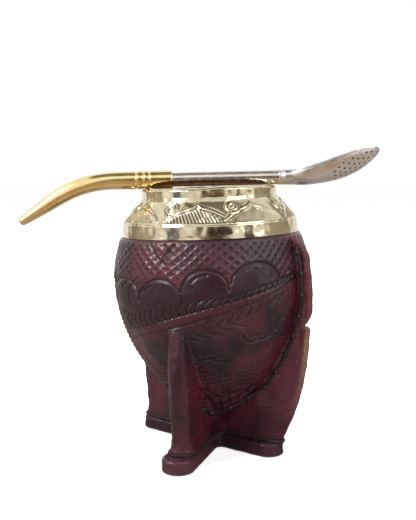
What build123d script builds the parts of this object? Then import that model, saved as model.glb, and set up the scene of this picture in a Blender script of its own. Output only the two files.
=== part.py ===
from build123d import *
import os
from math import cos, hypot, radians, sin, sqrt

# A mate cup with its drinking straw.  The cup is a hollow calabash in a leather
# cover that is pinched into four legs, on a leather sole, with a spun metal ring
# round the mouth.  The straw lies across the ring.
# +Z is up.  The origin is under the gourd at the middle of the sole's lower face.
# +X runs along the straw from the mouthpiece to the strainer.
# Lengths are in millimetres and angles in degrees.

# ---- Driving dimensions ----------------------------------------------------

# The gourd and its ring lean a little on their base, as a hand-made cup does.
lean = 2.1
lean_pivot_height = 65.0

# Outer contour of the leather round the gourd: (radius, height) from tip to ring.
leather_contour = [
    (0.0, 12.8),
    (8.0, 14.9),
    (16.0, 20.2),
    (24.0, 28.4),
    (31.5, 37.4),
    (38.2, 47.4),
    (43.4, 57.6),
    (47.3, 69.0),
    (49.5, 80.0),
    (49.8, 89.0),
    (48.8, 98.0),
    (46.4, 107.6),
]
leather_thickness = 2.4
leather_top = 114.0
ring_seat_radius = 43.8
ring_seat_height = 110.6

# Calabash wall and mouth.
gourd_wall = 6.0
gourd_shoulder = [(41.8, 112.0), (39.2, 117.6), (35.6, 122.0), (33.4, 126.6)]
gourd_neck_radius = 33.2
gourd_mouth_radius = 30.5
gourd_rim_height = 131.6
cavity_shoulder = [(37.2, 111.0), (34.4, 116.2), (31.4, 121.0)]
cavity_neck_height = 126.0

# Metal ring: sleeve inside the mouth, rolled lip, neck, embossed shoulder, band.
ring_wall = 0.9
ring_top = 134.0
ring_sleeve_radius = 29.5
ring_sleeve_foot = 127.0
ring_neck_radius = 34.3
ring_neck_foot = 128.9
ring_shoulder = [(38.0, 124.4), (40.5, 121.0), (43.5, 117.4)]
ring_band_radius = 44.2
ring_band_top = 116.8
ring_foot_radius = 44.9
ring_foot = 110.5

# Sole and the dark welt that joins it to the legs.
sole_thickness = 7.0
sole_edge_round = 0.8
welt_thickness = 1.2
toe_half_width = 8.0
arch_half_width = 5.2
arch_round = 3.0
welt_inset = 1.8

# Legs: the azimuth is measured from -Y towards +X.  The toe is where the centre
# of the sole's rounded lobe lies.
leg_azimuths = {"leg_front": -21.5, "leg_seam": 57.0, "leg_back": 149.0, "leg_left": -132.0}
toe_distances = {"leg_front": 46.5, "leg_seam": 32.5, "leg_back": 39.0, "leg_left": 40.5}
folded_leg_thickness = 9.2
folded_leg_edge = [(45.0, 8.2), (48.2, 24.0), (50.4, 40.0), (51.6, 53.0), (50.4, 63.0), (45.5, 74.0)]
seam_leg_thickness = 6.0
seam_leg_lower_edge = [(40.6, 8.2), (46.1, 19.3), (50.2, 31.0), (53.4, 47.0), (55.0, 65.6)]
seam_leg_upper_edge = [(53.2, 67.8), (55.6, 73.5), (56.0, 82.0), (54.9, 97.0), (52.6, 106.4)]
fold_round_share = 0.42
root_radius = 8.0
root_taper = 12.0
# Each leg is kept to its own wedge, which reaches past the widest leg.
sector_side_reach = 120.0
sector_tip_reach = 160.0
leg_base_height = sole_thickness + welt_thickness

# Seam stitches: they follow the gourd's contour a little outside it.
stitch_offset = 2.3
stitch_count = 13
stitch_pitch = 10.4
stitch_length = 8.2
stitch_end_gap = 4.5
thread_radius = 0.7

# Straw: it rests on the ring's lip in a plane a little in front of the axis.
straw_offset = -4.0
lip_radius = (ring_sleeve_radius + ring_neck_radius) / 2
tube_radius = 3.65
tube_wall = 0.9
ferrule_radius = 4.55
ferrule_end = -20.8
groove_places = [-32.2, -35.2, -38.8]
groove_width = 0.9
groove_depth = 0.35
ferrule_start = -41.0
tube_socket = 12.0
bend_start = -50.4
bend_radius = 56.5
bend_angle = 31.9
mouth_length = 21.1
tip_half_width = 4.9
tip_half_thickness = 2.35
throat_half_width = 4.25
throat_half_thickness = 4.15
mouth_wall = 0.85
mouth_waist = 0.60
mouth_stations = [0, 0.12, 0.26, 0.40, 0.52, 0.62, 0.72, 0.82, 0.91, 1]

# Strainer: a flattened pouch whose edge nearest the front is rolled upwards.
strainer_start = 32.8
strainer_curve_start = 35.4
strainer_radius = 95.0
strainer_angle = 30.2
strainer_roll = 38.0
strainer_wall = 0.8
collar_radius = 3.9
collar_groove_place = 34.0
collar_groove_depth = 0.25
# (fraction of the curve, half width, depth of the belly, height of the back)
strainer_sections = [
    (0.00, 3.9, 3.9, 3.9),
    (0.06, 4.1, 4.0, 3.6),
    (0.18, 5.8, 4.5, 2.4),
    (0.40, 8.0, 4.3, 1.1),
    (0.62, 8.8, 4.2, 0.8),
    (0.80, 7.4, 3.3, 0.8),
    (0.92, 4.6, 1.9, 0.7),
    (1.00, 1.5, 0.6, 0.4),
]
cavity_sections = 7
thinnest_back = 0.1
flow_hole_radius = 0.58
flow_hole_pitch = 3.0
flow_field_start = 0.50
flow_column_step = 0.052
flow_columns = 9
flow_rows = range(-3, 4)
flow_drill_start = -8.0
flow_drill_depth = 7.2
flow_field_half_width = 6.2

os.makedirs("parts", exist_ok=True)

# ---- Frames ----------------------------------------------------------------

# The gourd's own half-plane: local X is the radius and local Y the height along
# the leaning axis.
lean_side = lean_pivot_height * sin(radians(lean))
lean_drop = lean_pivot_height * (1 - cos(radians(lean)))
gourd_plane = Plane(
    origin=(lean_side, 0, lean_drop),
    x_dir=(cos(radians(lean)), 0, sin(radians(lean))),
    z_dir=(0, -1, 0),
)
gourd_axis = Axis(gourd_plane.origin, gourd_plane.y_dir)


def radial_plane(azimuth):
    """Upright plane through the Z axis, with local X outwards and local Y up."""
    turn = radians(azimuth)
    return Plane(
        origin=(0, 0, 0),
        x_dir=(sin(turn), -cos(turn), 0),
        z_dir=(-cos(turn), -sin(turn), 0),
    )


def moved_inwards(contour, distance):
    """The contour's points moved by distance along the normal, towards the inside."""
    moved = []
    for index, (radius, height) in enumerate(contour):
        before = contour[max(index - 1, 0)]
        after = contour[min(index + 1, len(contour) - 1)]
        run = after[0] - before[0]
        rise = after[1] - before[1]
        length = hypot(run, rise)
        if radius == 0:
            moved.append((0.0, height + distance))
        else:
            moved.append((radius - distance * rise / length, height + distance * run / length))
    return moved


gourd_contour = moved_inwards(leather_contour, leather_thickness)
cavity_contour = moved_inwards(leather_contour, leather_thickness + gourd_wall)

# ---- Calabash --------------------------------------------------------------

with BuildPart() as gourd_shell:
    with BuildSketch(gourd_plane):
        with BuildLine():
            outside = Spline(*gourd_contour, *gourd_shoulder, tangents=[(1, 0), (-0.2, 1)])
            neck = Polyline(
                outside @ 1,
                (gourd_neck_radius, gourd_rim_height),
                (gourd_mouth_radius, gourd_rim_height),
                (gourd_mouth_radius, cavity_neck_height),
            )
            inside = Spline(
                neck @ 1,
                *reversed(cavity_shoulder),
                *reversed(cavity_contour),
                tangents=[(0, -1), (-1, 0)],
            )
            Line(inside @ 1, outside @ 0)
        make_face()
    revolve(axis=gourd_axis)
gourd_shell.part.label = "gourd_shell"
export_step(gourd_shell.part, "parts/gourd_shell.step")

# ---- Leather round the gourd -----------------------------------------------

with BuildPart() as gourd_volume:
    with BuildSketch(gourd_plane):
        with BuildLine():
            volume_side = Spline(*gourd_contour, *gourd_shoulder, tangents=[(1, 0), (-0.2, 1)])
            Polyline(volume_side @ 1, (0, gourd_shoulder[-1][1]), volume_side @ 0)
        make_face()
    revolve(axis=gourd_axis)

with BuildPart() as leather_volume:
    with BuildSketch(gourd_plane):
        with BuildLine():
            cover_side = Spline(*leather_contour, (45.6, 109.8), tangents=[(1, 0), (-0.45, 1)])
            Polyline(
                cover_side @ 1,
                (ring_seat_radius, ring_seat_height),
                (ring_seat_radius - 1.2, leather_top),
                (0, leather_top),
                cover_side @ 0,
            )
        make_face()
    revolve(axis=gourd_axis)

with BuildPart() as leather_cover:
    add(leather_volume.part)
    add(gourd_volume.part, mode=Mode.SUBTRACT)
leather_cover.part.label = "leather_cover"
export_step(leather_cover.part, "parts/leather_cover.step")

# ---- Metal ring ------------------------------------------------------------

with BuildPart() as rim_ring:
    with BuildSketch(gourd_plane):
        with BuildLine():
            lip_rise = ring_wall * 1.5
            sleeve = Line((ring_sleeve_radius, ring_sleeve_foot), (ring_sleeve_radius, ring_top - lip_rise))
            lip = ThreePointArc(
                sleeve @ 1,
                (lip_radius, ring_top),
                (ring_neck_radius, ring_top - lip_rise),
            )
            Polyline(
                lip @ 1,
                (ring_neck_radius, ring_neck_foot),
                *ring_shoulder,
                (ring_band_radius, ring_band_top),
                (ring_foot_radius, ring_foot),
            )
            offset(amount=ring_wall, side=Side.RIGHT)
        make_face()
    revolve(axis=gourd_axis)
rim_ring.part.label = "rim_ring"
export_step(rim_ring.part, "parts/rim_ring.step")

# ---- Sole and welt ---------------------------------------------------------


def cross_outline(inset):
    """Four-armed outline: each arm widens from the arch to a rounded toe."""
    for name, azimuth in leg_azimuths.items():
        toe = toe_distances[name]
        with Locations(Location((0, 0, 0), (0, 0, azimuth - 90))):
            Polygon(
                (0, arch_half_width - inset),
                (toe, toe_half_width - inset),
                (toe, inset - toe_half_width),
                (0, inset - arch_half_width),
                align=None,
            )
            with Locations((toe, 0)):
                Circle(toe_half_width - inset)


with BuildPart() as sole:
    with BuildSketch() as sole_outline:
        cross_outline(0.0)
        fillet(sole_outline.vertices().sort_by_distance((0, 0, 0))[:4], radius=arch_round)
    extrude(amount=sole_thickness)
    chamfer(sole.faces().sort_by(Axis.Z)[-1].edges(), length=sole_edge_round)
sole.part.label = "sole"
export_step(sole.part, "parts/sole.step")

with BuildPart() as welt:
    with BuildSketch(Plane.XY.offset(sole_thickness)) as welt_outline:
        cross_outline(welt_inset)
        fillet(welt_outline.vertices().sort_by_distance((0, 0, sole_thickness))[:4], radius=arch_round)
    extrude(amount=welt_thickness)
welt.part.label = "welt"
export_step(welt.part, "parts/welt.step")

# ---- Legs ------------------------------------------------------------------


def leg_sector(name):
    """Corner directions of the wedge that belongs to one leg, halfway to each neighbour."""
    ordered = sorted(leg_azimuths.values())
    place = ordered.index(leg_azimuths[name])
    before = ordered[place - 1] - (360 if place == 0 else 0)
    after = ordered[(place + 1) % 4] + (360 if place == 3 else 0)
    own = ordered[place]
    return (own + before) / 2, (own + after) / 2


def on_floor(azimuth, distance):
    """Point on the XY plane at an azimuth and a distance from the Z axis."""
    return (distance * sin(radians(azimuth)), -distance * cos(radians(azimuth)))


def leg_web(name, edge_lines, thickness):
    """One leg: an upright web out to its rounded edge, inside its own sector."""
    azimuth = leg_azimuths[name]
    with BuildPart() as leg:
        with BuildSketch(radial_plane(azimuth)):
            with BuildLine():
                edges = [Spline(*points) for points in edge_lines]
                for lower, upper in zip(edges, edges[1:]):
                    Line(lower @ 1, upper @ 0)
                Polyline(
                    edges[-1] @ 1,
                    (0, (edges[-1] @ 1).Y),
                    (0, leg_base_height),
                    edges[0] @ 0,
                )
            make_face()
        extrude(amount=thickness / 2, both=True)
        with BuildSketch(Plane.XY.offset(leg_base_height)):
            Circle(root_radius)
        extrude(amount=leather_contour[2][1] - leg_base_height, taper=root_taper)
        first, last = leg_sector(name)
        with BuildSketch(Plane.XY):
            Polygon(
                (0, 0),
                on_floor(first, sector_side_reach),
                on_floor(azimuth, sector_tip_reach),
                on_floor(last, sector_side_reach),
                align=None,
            )
        extrude(amount=leather_top, mode=Mode.INTERSECT)
        add(leather_volume.part, mode=Mode.SUBTRACT)
    return leg


def rounded_web(name, edge_points, thickness):
    """A folded leg, whose fold is a full round along the whole outer edge."""
    same_place = 0.1
    leg = leg_web(name, [edge_points], thickness)
    fold_edges = leg.edges().filter_by(GeomType.BSPLINE).sort_by(
        lambda edge: -hypot(edge.center().X, edge.center().Y)
    )[:2]
    with BuildPart() as folded:
        add(leg.part)
        fillet(folded.edges().filter_by(
            lambda edge: any((edge.center() - other.center()).length < same_place for other in fold_edges)
        ), radius=thickness * fold_round_share)
    return folded


for leg_name in ("leg_front", "leg_left", "leg_back"):
    web = rounded_web(leg_name, folded_leg_edge, folded_leg_thickness)
    web.part.label = leg_name
    export_step(web.part, f"parts/{leg_name}.step")

seam_web = leg_web("leg_seam", [seam_leg_lower_edge, seam_leg_upper_edge], seam_leg_thickness)
seam_web.part.label = "leg_seam"
export_step(seam_web.part, "parts/leg_seam.step")

# ---- Seam thread -----------------------------------------------------------

with BuildLine(radial_plane(leg_azimuths["leg_seam"])) as seam_line:
    seam_curve = Spline(*moved_inwards(leather_contour, -stitch_offset)[1:])

with BuildPart() as seam_thread:
    seam_length = seam_curve.length
    for side in (-1, 1):
        face_offset = side * (seam_leg_thickness / 2 + thread_radius)
        shift = radial_plane(leg_azimuths["leg_seam"]).z_dir * face_offset
        for index in range(stitch_count):
            middle = seam_length - stitch_end_gap - index * stitch_pitch
            if middle < stitch_length / 2:
                break
            place = seam_curve @ (middle / seam_length) + shift
            along = seam_curve % (middle / seam_length)
            with BuildSketch(Plane(origin=place - along * stitch_length / 2, z_dir=along)):
                Circle(thread_radius)
            extrude(amount=stitch_length)
seam_thread.part.label = "seam_thread"
export_step(seam_thread.part, "parts/seam_thread.step")

# ---- Straw -----------------------------------------------------------------

# The straw's line through its two rests on the lip.
rest_reach = sqrt(lip_radius**2 - straw_offset**2)
lip_centre = gourd_plane.from_local_coords((0, ring_top, 0))
left_rest = lip_centre - gourd_plane.x_dir * rest_reach + Vector(0, straw_offset, ferrule_radius)
right_rest = lip_centre + gourd_plane.x_dir * rest_reach + Vector(0, straw_offset, tube_radius)
straw_dir = (right_rest - left_rest).normalized()
# Local X runs along the straw and is measured from the Z axis, local Y is up.
straw_zero = left_rest - straw_dir * (left_rest.X / straw_dir.X)
straw_plane = Plane(origin=straw_zero, x_dir=straw_dir, z_dir=(0, -1, 0))


def across_path(path, fraction):
    """Plane across a path: local X to the back, local Y towards the path's upper side."""
    return Plane(origin=path @ fraction, x_dir=(0, 1, 0), z_dir=path % fraction)


def across_straw(place):
    """Plane across the straight part of the straw, looking towards the strainer."""
    return Plane(origin=straw_plane.from_local_coords((place, 0, 0)), x_dir=(0, 1, 0), z_dir=straw_dir)


with BuildLine(straw_plane) as mouth_line:
    neck_line = Line((ferrule_start, 0), (bend_start, 0))
    bend = JernArc(neck_line @ 1, neck_line % 1, bend_radius, bend_angle)
    Line(bend @ 1, (bend @ 1) + (bend % 1) * mouth_length)
mouth_path = mouth_line.wires()[0]


def mouth_section(fraction):
    """Half width and half thickness of the mouthpiece: round, waisted, then flattened."""
    if fraction <= mouth_waist:
        share = sin(radians(90 * fraction / mouth_waist))
        half_width = ferrule_radius + (throat_half_width - ferrule_radius) * share
        half_thickness = ferrule_radius + (throat_half_thickness - ferrule_radius) * share
    else:
        flattening = (fraction - mouth_waist) / (1 - mouth_waist)
        share = (1 - cos(radians(90 * flattening)) + flattening) / 2
        half_width = throat_half_width + (tip_half_width - throat_half_width) * share
        half_thickness = throat_half_thickness + (tip_half_thickness - throat_half_thickness) * share
    return half_width, half_thickness


with BuildPart() as mouth_bore:
    for station in mouth_stations:
        width, thickness = mouth_section(station)
        with BuildSketch(across_path(mouth_path, station)):
            Ellipse(width - mouth_wall, thickness - mouth_wall)
    loft()

with BuildPart() as mouthpiece:
    for station in mouth_stations:
        width, thickness = mouth_section(station)
        with BuildSketch(across_path(mouth_path, station)):
            Ellipse(width, thickness)
    loft()
    with BuildSketch(across_straw(ferrule_start)):
        Circle(ferrule_radius)
    extrude(amount=ferrule_end - ferrule_start)
    for place in groove_places:
        with BuildSketch(across_straw(place - groove_width / 2)):
            Circle(ferrule_radius)
            Circle(ferrule_radius - groove_depth, mode=Mode.SUBTRACT)
        extrude(amount=groove_width, mode=Mode.SUBTRACT)
    add(mouth_bore.part, mode=Mode.SUBTRACT)
    with BuildSketch(across_straw(ferrule_start)):
        Circle(tube_radius - tube_wall)
    extrude(amount=ferrule_end - ferrule_start, mode=Mode.SUBTRACT)
    with BuildSketch(across_straw(ferrule_end - tube_socket)):
        Circle(tube_radius)
    extrude(amount=tube_socket, mode=Mode.SUBTRACT)
mouthpiece.part.label = "mouthpiece"
export_step(mouthpiece.part, "parts/mouthpiece.step")

with BuildPart() as straw_tube:
    with BuildSketch(across_straw(ferrule_end - tube_socket)):
        Circle(tube_radius)
        Circle(tube_radius - tube_wall, mode=Mode.SUBTRACT)
    extrude(amount=strainer_start - ferrule_end + tube_socket)
straw_tube.part.label = "straw_tube"
export_step(straw_tube.part, "parts/straw_tube.step")

with BuildLine(straw_plane) as strainer_line:
    JernArc((strainer_curve_start, 0), (1, 0), strainer_radius, strainer_angle)
strainer_path = strainer_line.wires()[0]


def strainer_plane(fraction):
    """Plane across the strainer, turned so that its front edge is rolled upwards."""
    return across_path(strainer_path, fraction).rotated((0, 0, -strainer_roll))


def strainer_section(fraction, half_width, belly, back, wall=0.0):
    """Lens section on its own plane: a deep arc below and a flat arc above."""
    with BuildSketch(strainer_plane(fraction)) as section:
        with BuildLine():
            under = ThreePointArc((-half_width + wall, 0), (0, wall - belly), (half_width - wall, 0))
            ThreePointArc(under @ 1, (0, max(back - wall, thinnest_back)), under @ 0)
        make_face()
    return section.sketch


with BuildPart() as strainer_cavity:
    for row in strainer_sections[:cavity_sections]:
        add(strainer_section(*row, wall=strainer_wall))
    loft()

with BuildPart() as strainer:
    for row in strainer_sections:
        add(strainer_section(*row))
    loft()
    with BuildSketch(across_straw(strainer_start)):
        Circle(collar_radius)
    extrude(amount=strainer_curve_start - strainer_start)
    with BuildSketch(across_straw(collar_groove_place)):
        Circle(collar_radius)
        Circle(collar_radius - collar_groove_depth, mode=Mode.SUBTRACT)
    extrude(amount=collar_groove_depth, mode=Mode.SUBTRACT)
    add(strainer_cavity.part, mode=Mode.SUBTRACT)
    with BuildSketch(across_straw(strainer_start)):
        Circle(collar_radius - strainer_wall)
    extrude(amount=strainer_curve_start - strainer_start, mode=Mode.SUBTRACT)
    for column in range(flow_columns):
        hole_plane = strainer_plane(flow_field_start + column * flow_column_step)
        # The field of holes is rounded at both ends and widest past its middle.
        share = column / (flow_columns - 1)
        reach = flow_field_half_width * sqrt(1 - (1.35 * share - 0.55) ** 2)
        for row in flow_rows:
            across = (row + (column % 2) / 2) * flow_hole_pitch
            if abs(across) <= reach:
                with BuildSketch(Plane(
                    origin=hole_plane.from_local_coords((across, flow_drill_start, 0)),
                    x_dir=hole_plane.z_dir,
                    z_dir=hole_plane.y_dir,
                )):
                    Circle(flow_hole_radius)
                extrude(amount=flow_drill_depth, mode=Mode.SUBTRACT)
strainer.part.label = "strainer"
export_step(strainer.part, "parts/strainer.step")
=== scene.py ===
# %% [markdown]
# # A mate cup in tooled leather, with its drinking straw
#
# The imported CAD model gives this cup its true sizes: a hollow calabash in a leather
# cover, four legs on a leather sole, a spun metal ring round the mouth, and a metal
# straw that lies across the ring. These cells dress it. Most pieces are surfaces
# worked out with numpy: a grid of points from a formula, made into one mesh.

# %% Load the frame
import math

import bmesh
import bpy
import numpy as np
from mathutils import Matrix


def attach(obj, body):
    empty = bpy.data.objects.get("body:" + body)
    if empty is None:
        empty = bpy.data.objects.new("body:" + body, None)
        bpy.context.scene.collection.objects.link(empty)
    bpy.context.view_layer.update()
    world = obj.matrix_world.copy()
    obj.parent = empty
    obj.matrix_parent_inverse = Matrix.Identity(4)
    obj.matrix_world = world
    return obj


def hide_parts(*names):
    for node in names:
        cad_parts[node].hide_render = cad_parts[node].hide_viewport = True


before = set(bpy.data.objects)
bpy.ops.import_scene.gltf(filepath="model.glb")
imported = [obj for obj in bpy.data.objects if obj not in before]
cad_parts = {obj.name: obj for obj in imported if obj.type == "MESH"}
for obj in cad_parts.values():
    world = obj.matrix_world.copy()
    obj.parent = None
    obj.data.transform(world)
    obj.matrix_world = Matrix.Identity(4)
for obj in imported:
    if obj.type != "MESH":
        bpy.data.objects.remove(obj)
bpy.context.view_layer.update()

# %% [markdown]
# ## Grids of points become pieces
#
# A surface could be built in Blender by hand with extrusions and loop cuts. Here each
# one is a table of points, row by row, and a helper joins neighbours into four-sided
# faces. Working in whole arrays keeps a hundred thousand points quick, and the same
# helper closes ends with a fan of triangles so that no mesh has a hole left in it.

# %% Helpers for surfaces
MM = 0.001


def smooth_through(places, values, at):
    """A smooth curve through known values: on each span it is the cubic whose slope
    at both ends is that of the parabola through the neighbouring points."""
    places = np.asarray(places, float)
    values = np.asarray(values, float)
    slopes = np.gradient(values, places)
    span = np.clip(np.searchsorted(places, at, side="right") - 1, 0, len(places) - 2)
    width = places[span + 1] - places[span]
    t = (at - places[span]) / width
    rising = t * t * (3 - 2 * t)
    return (
        values[span] * (1 - rising) + values[span + 1] * rising
        + width * t * (1 - t) * ((1 - t) * slopes[span] - t * slopes[span + 1])
    )


def smooth_path(points, count):
    """Points evenly spaced by number along a smooth curve through the given points."""
    points = np.asarray(points, float)
    at = np.linspace(0, len(points) - 1, count)
    return np.stack([smooth_through(np.arange(len(points)), c, at) for c in points.T], -1)


def smooth_step(low, high, x):
    """0 below low, 1 above high, and a soft S between them."""
    t = np.clip((x - low) / (high - low), 0, 1)
    return t * t * (3 - 2 * t)


def smooth_max(a, b, blend):
    """The larger of two values, rounded over where they differ by less than blend."""
    near = np.maximum(blend - np.abs(a - b), 0) / blend
    return np.maximum(a, b) + near * near * blend / 4


def bell(x, width):
    """1 at 0, falling off to both sides as a bell curve."""
    return np.exp(-(x / width) ** 2)


def unit(vectors):
    """Vectors scaled to length 1."""
    return vectors / np.maximum(np.linalg.norm(vectors, axis=-1, keepdims=True), 1e-9)


def lengths_along(points):
    """The length along a line of points, from 0 at the first."""
    return np.concatenate([[0], np.cumsum(np.linalg.norm(np.diff(points, axis=0), axis=1))])


def facing(azimuth):
    """The level direction at an angle from the front, as x and y."""
    return np.stack([np.sin(azimuth), -np.cos(azimuth)], -1)


def lumps(points, pitch, seed):
    """A soft random field: the sum of 14 waves in random directions, of about that
    pitch, scaled so that it mostly lies between -1 and 1."""
    rng = np.random.default_rng(seed)
    waves = unit(rng.normal(size=(14, 3))) * (2 * np.pi / pitch) * rng.uniform(0.6, 1.5, (14, 1))
    phases = rng.uniform(0, 2 * np.pi, 14)
    total = np.zeros(points.shape[:-1])
    for wave, phase in zip(waves, phases):
        total += np.cos(points @ wave + phase)
    return total / math.sqrt(14)


def grid_normals(points):
    """Unit normals of a grid of points: the cross product of its two directions."""
    return unit(np.cross(np.gradient(points, axis=0), np.gradient(points, axis=1)))


def skin(points, join_rows=False, join_columns=True, first_cap=False, last_cap=False):
    """Vertices, four-sided faces and triangles of a grid of points. Rows or columns
    can join end to end, and a cap closes an end row with a fan round its middle."""
    rows, columns = points.shape[:2]
    vertices = points.reshape(-1, 3)
    index = np.arange(rows * columns).reshape(rows, columns)
    around = np.roll(index, -1, axis=1)
    net = np.vstack([index, index[:1]]) if join_rows else index
    net = np.hstack([net, net[:, :1]]) if join_columns else net
    quads = np.stack([net[:-1, :-1], net[:-1, 1:], net[1:, 1:], net[1:, :-1]], -1).reshape(-1, 4)
    fans = []
    for wanted, row in ((first_cap, 0), (last_cap, -1)):
        if wanted:
            hub = np.full(columns, len(vertices))
            vertices = np.vstack([vertices, points[row].mean(0)])
            fans.append(np.stack([hub, index[row], around[row]], -1))
    triangles = np.vstack(fans) if fans else np.zeros((0, 3), int)
    return vertices, quads, triangles


def make_piece(name, skins, material, nodes=(), marks=None, sharp_angle=None):
    """Joins skins, in millimetres, into one mesh piece in metres that rides the cup.
    marks is a table of point attributes, which a material can read by name."""
    starts = np.cumsum([0] + [len(s[0]) for s in skins])
    vertices = np.vstack([s[0] for s in skins]) * MM
    faces = []
    for start, (_, quads, triangles) in zip(starts, skins):
        faces += (quads + start).tolist() + (triangles + start).tolist()
    mesh = bpy.data.meshes.new(name)
    mesh.from_pydata(vertices.tolist(), [], faces)
    shape = bmesh.new()
    shape.from_mesh(mesh)
    bmesh.ops.recalc_face_normals(shape, faces=shape.faces)
    shape.to_mesh(mesh)
    shape.free()
    mesh.polygons.foreach_set("use_smooth", np.ones(len(mesh.polygons), bool))
    if sharp_angle:
        mesh.set_sharp_from_angle(angle=math.radians(sharp_angle))
    for mark, values in (marks or {}).items():
        padded = np.zeros(len(vertices), np.float32)
        padded[:values.size] = values.ravel()
        mesh.attributes.new(mark, "FLOAT", "POINT").data.foreach_set("value", padded)
    mesh.materials.append(material)
    made = bpy.data.objects.new(name, mesh)
    bpy.context.scene.collection.objects.link(made)
    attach(made, "root")
    if nodes:
        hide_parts(*nodes)
    count = sum(len(p.vertices) - 2 for p in mesh.polygons)
    print(f"{name}: {len(vertices)} vertices, {count} triangles")
    return made


# %% [markdown]
# ## The lean
#
# The gourd and its ring lean a little on their base, as a hand-made cup does, while
# the sole stays flat. Every round part is laid out from a radius, a direction and a
# height in the gourd's own leaning frame. The direction is an angle that starts at
# the front, which is -Y, and grows towards +X.

# %% The leaning frame
LEAN = math.radians(2.1)
LEAN_PIVOT = 65.0


def leaning(radius, azimuth, height):
    """Out by radius, then up by height along an axis that leans about the pivot."""
    x = (LEAN_PIVOT - height) * math.sin(LEAN) + radius * np.sin(azimuth) * math.cos(LEAN)
    y = -radius * np.cos(azimuth)
    z = (
        LEAN_PIVOT * (1 - math.cos(LEAN)) + height * math.cos(LEAN)
        + radius * np.sin(azimuth) * math.sin(LEAN)
    )
    return np.stack(np.broadcast_arrays(x, y, z), -1)


print("the mouth's centre:", leaning(0.0, 0.0, 134.0).round(2))

# %% [markdown]
# ## Material helpers
#
# Every material is a Principled shader with a few textures in front of it. These
# helpers keep the node trees short to read: one starts a material with constant
# values on the shader's own sockets, the others add nodes and link or set inputs.

# %% Helpers for materials


def start_material(name, **values):
    """A material, its node tree and its shader, with constants set on the shader."""
    material = bpy.data.materials.new(name)
    material.use_nodes = True
    shader = material.node_tree.nodes["Principled BSDF"]
    for socket, value in values.items():
        shader.inputs[socket.replace("_", " ")].default_value = value
    return material, material.node_tree, shader


def feed(tree, socket, value):
    """Links another node's output to a socket, or sets the socket to a plain value."""
    if isinstance(value, bpy.types.NodeSocket):
        tree.links.new(value, socket)
    else:
        socket.default_value = value


def add_node(tree, kind, inputs=None, **settings):
    """A shader node. Each input is either another node's output or a plain value."""
    node = tree.nodes.new("ShaderNode" + kind)
    for name, value in settings.items():
        setattr(node, name, value)
    for socket, value in (inputs or {}).items():
        feed(tree, node.inputs[socket], value)
    return node


def add_ramp(tree, factor, stops):
    """A colour ramp through (place, colour) stops; a colour is three linear values."""
    node = add_node(tree, "ValToRGB", {"Fac": factor})
    while len(node.color_ramp.elements) < len(stops):
        node.color_ramp.elements.new(0.5)
    for element, (place, colour) in zip(node.color_ramp.elements, stops):
        element.position = place
        element.color = (*colour, 1)
    return node.outputs["Color"]


def mix_colours(tree, factor, first, second, blend="MIX"):
    """Two colours mixed by a factor; either may be an output or three values."""
    node = add_node(tree, "Mix", data_type="RGBA", blend_type=blend)
    for place, value in ((0, factor), (6, first), (7, second)):
        feed(tree, node.inputs[place], (*value, 1) if isinstance(value, tuple) else value)
    return node.outputs[2]


def noise(tree, vector, scale, detail=4.0, roughness=0.55):
    """The grey value of a noise texture, with scale in waves per metre."""
    node = add_node(
        tree, "TexNoise",
        {"Vector": vector, "Scale": scale, "Detail": detail, "Roughness": roughness},
    )
    return node.outputs["Fac"]


def place_of(tree, scale=(1, 1, 1)):
    """The surface's own place in metres, stretched by scale."""
    place = add_node(tree, "TexCoord").outputs["Object"]
    return add_node(tree, "Mapping", {"Vector": place, "Scale": scale}).outputs["Vector"]


def attribute(tree, name):
    """A point attribute's value."""
    return add_node(tree, "Attribute", attribute_name=name).outputs["Fac"]


def sums(tree, kind, first, second):
    """One sum of two values, such as MULTIPLY or ADD."""
    node = add_node(tree, "Math", operation=kind)
    for place, value in ((0, first), (1, second)):
        feed(tree, node.inputs[place], value)
    return node.outputs[0]


def add_bump(tree, shader, height, distance, strength=1.0):
    """Raises the shading by a grey value times distance, in metres."""
    node = add_node(tree, "Bump", {"Height": height, "Distance": distance, "Strength": strength})
    tree.links.new(node.outputs["Normal"], shader.inputs["Normal"])


# %% [markdown]
# ## Floor, lights and camera
#
# The cup stands on a plain pale floor in soft studio light. Polished metal shows what
# is around it, so dull cards stand round the cup out of the camera's sight: three in
# front, two at each side, one above and two on the floor. In a studio these are
# sheets of card, and they give a bright ring its darker bands.

# %% Floor, lights and camera
FLOOR_HALF = 6.0
FLOOR_GLOW = 0.73
AMBIENT = 0.20


def flat_card(name, corners, colour):
    """A four-cornered sheet with a plain dull colour, which isn't part of the cup."""
    mesh = bpy.data.meshes.new(name)
    mesh.from_pydata(corners, [], [(0, 1, 2, 3)])
    card = bpy.data.objects.new(name, mesh)
    bpy.context.scene.collection.objects.link(card)
    material, _, _ = start_material(name, Base_Color=(*colour, 1), Roughness=1.0)
    mesh.materials.append(material)
    return card


def seen_in_metal(card):
    """Only reflections show the card: it casts no shadow and hides nothing."""
    card.visible_camera = False
    card.visible_diffuse = False
    card.visible_shadow = False
    return card


def upright_card(name, azimuth, distance, half_width, low, high, colour):
    """A card that stands facing the cup, seen only in reflections."""
    turn = math.radians(azimuth)
    middle = facing(turn) * distance
    across = facing(turn + math.pi / 2) * half_width
    corners = [(*(middle + side * across), z)
               for side, z in ((-1, low), (1, low), (1, high), (-1, high))]
    return seen_in_metal(flat_card(name, corners, colour))


def level_card(name, low, high, height, colour):
    """A card lying level between two corners, seen only in reflections."""
    corners = [(low[0], low[1], height), (high[0], low[1], height),
               (high[0], high[1], height), (low[0], high[1], height)]
    return seen_in_metal(flat_card(name, corners, colour))


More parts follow.
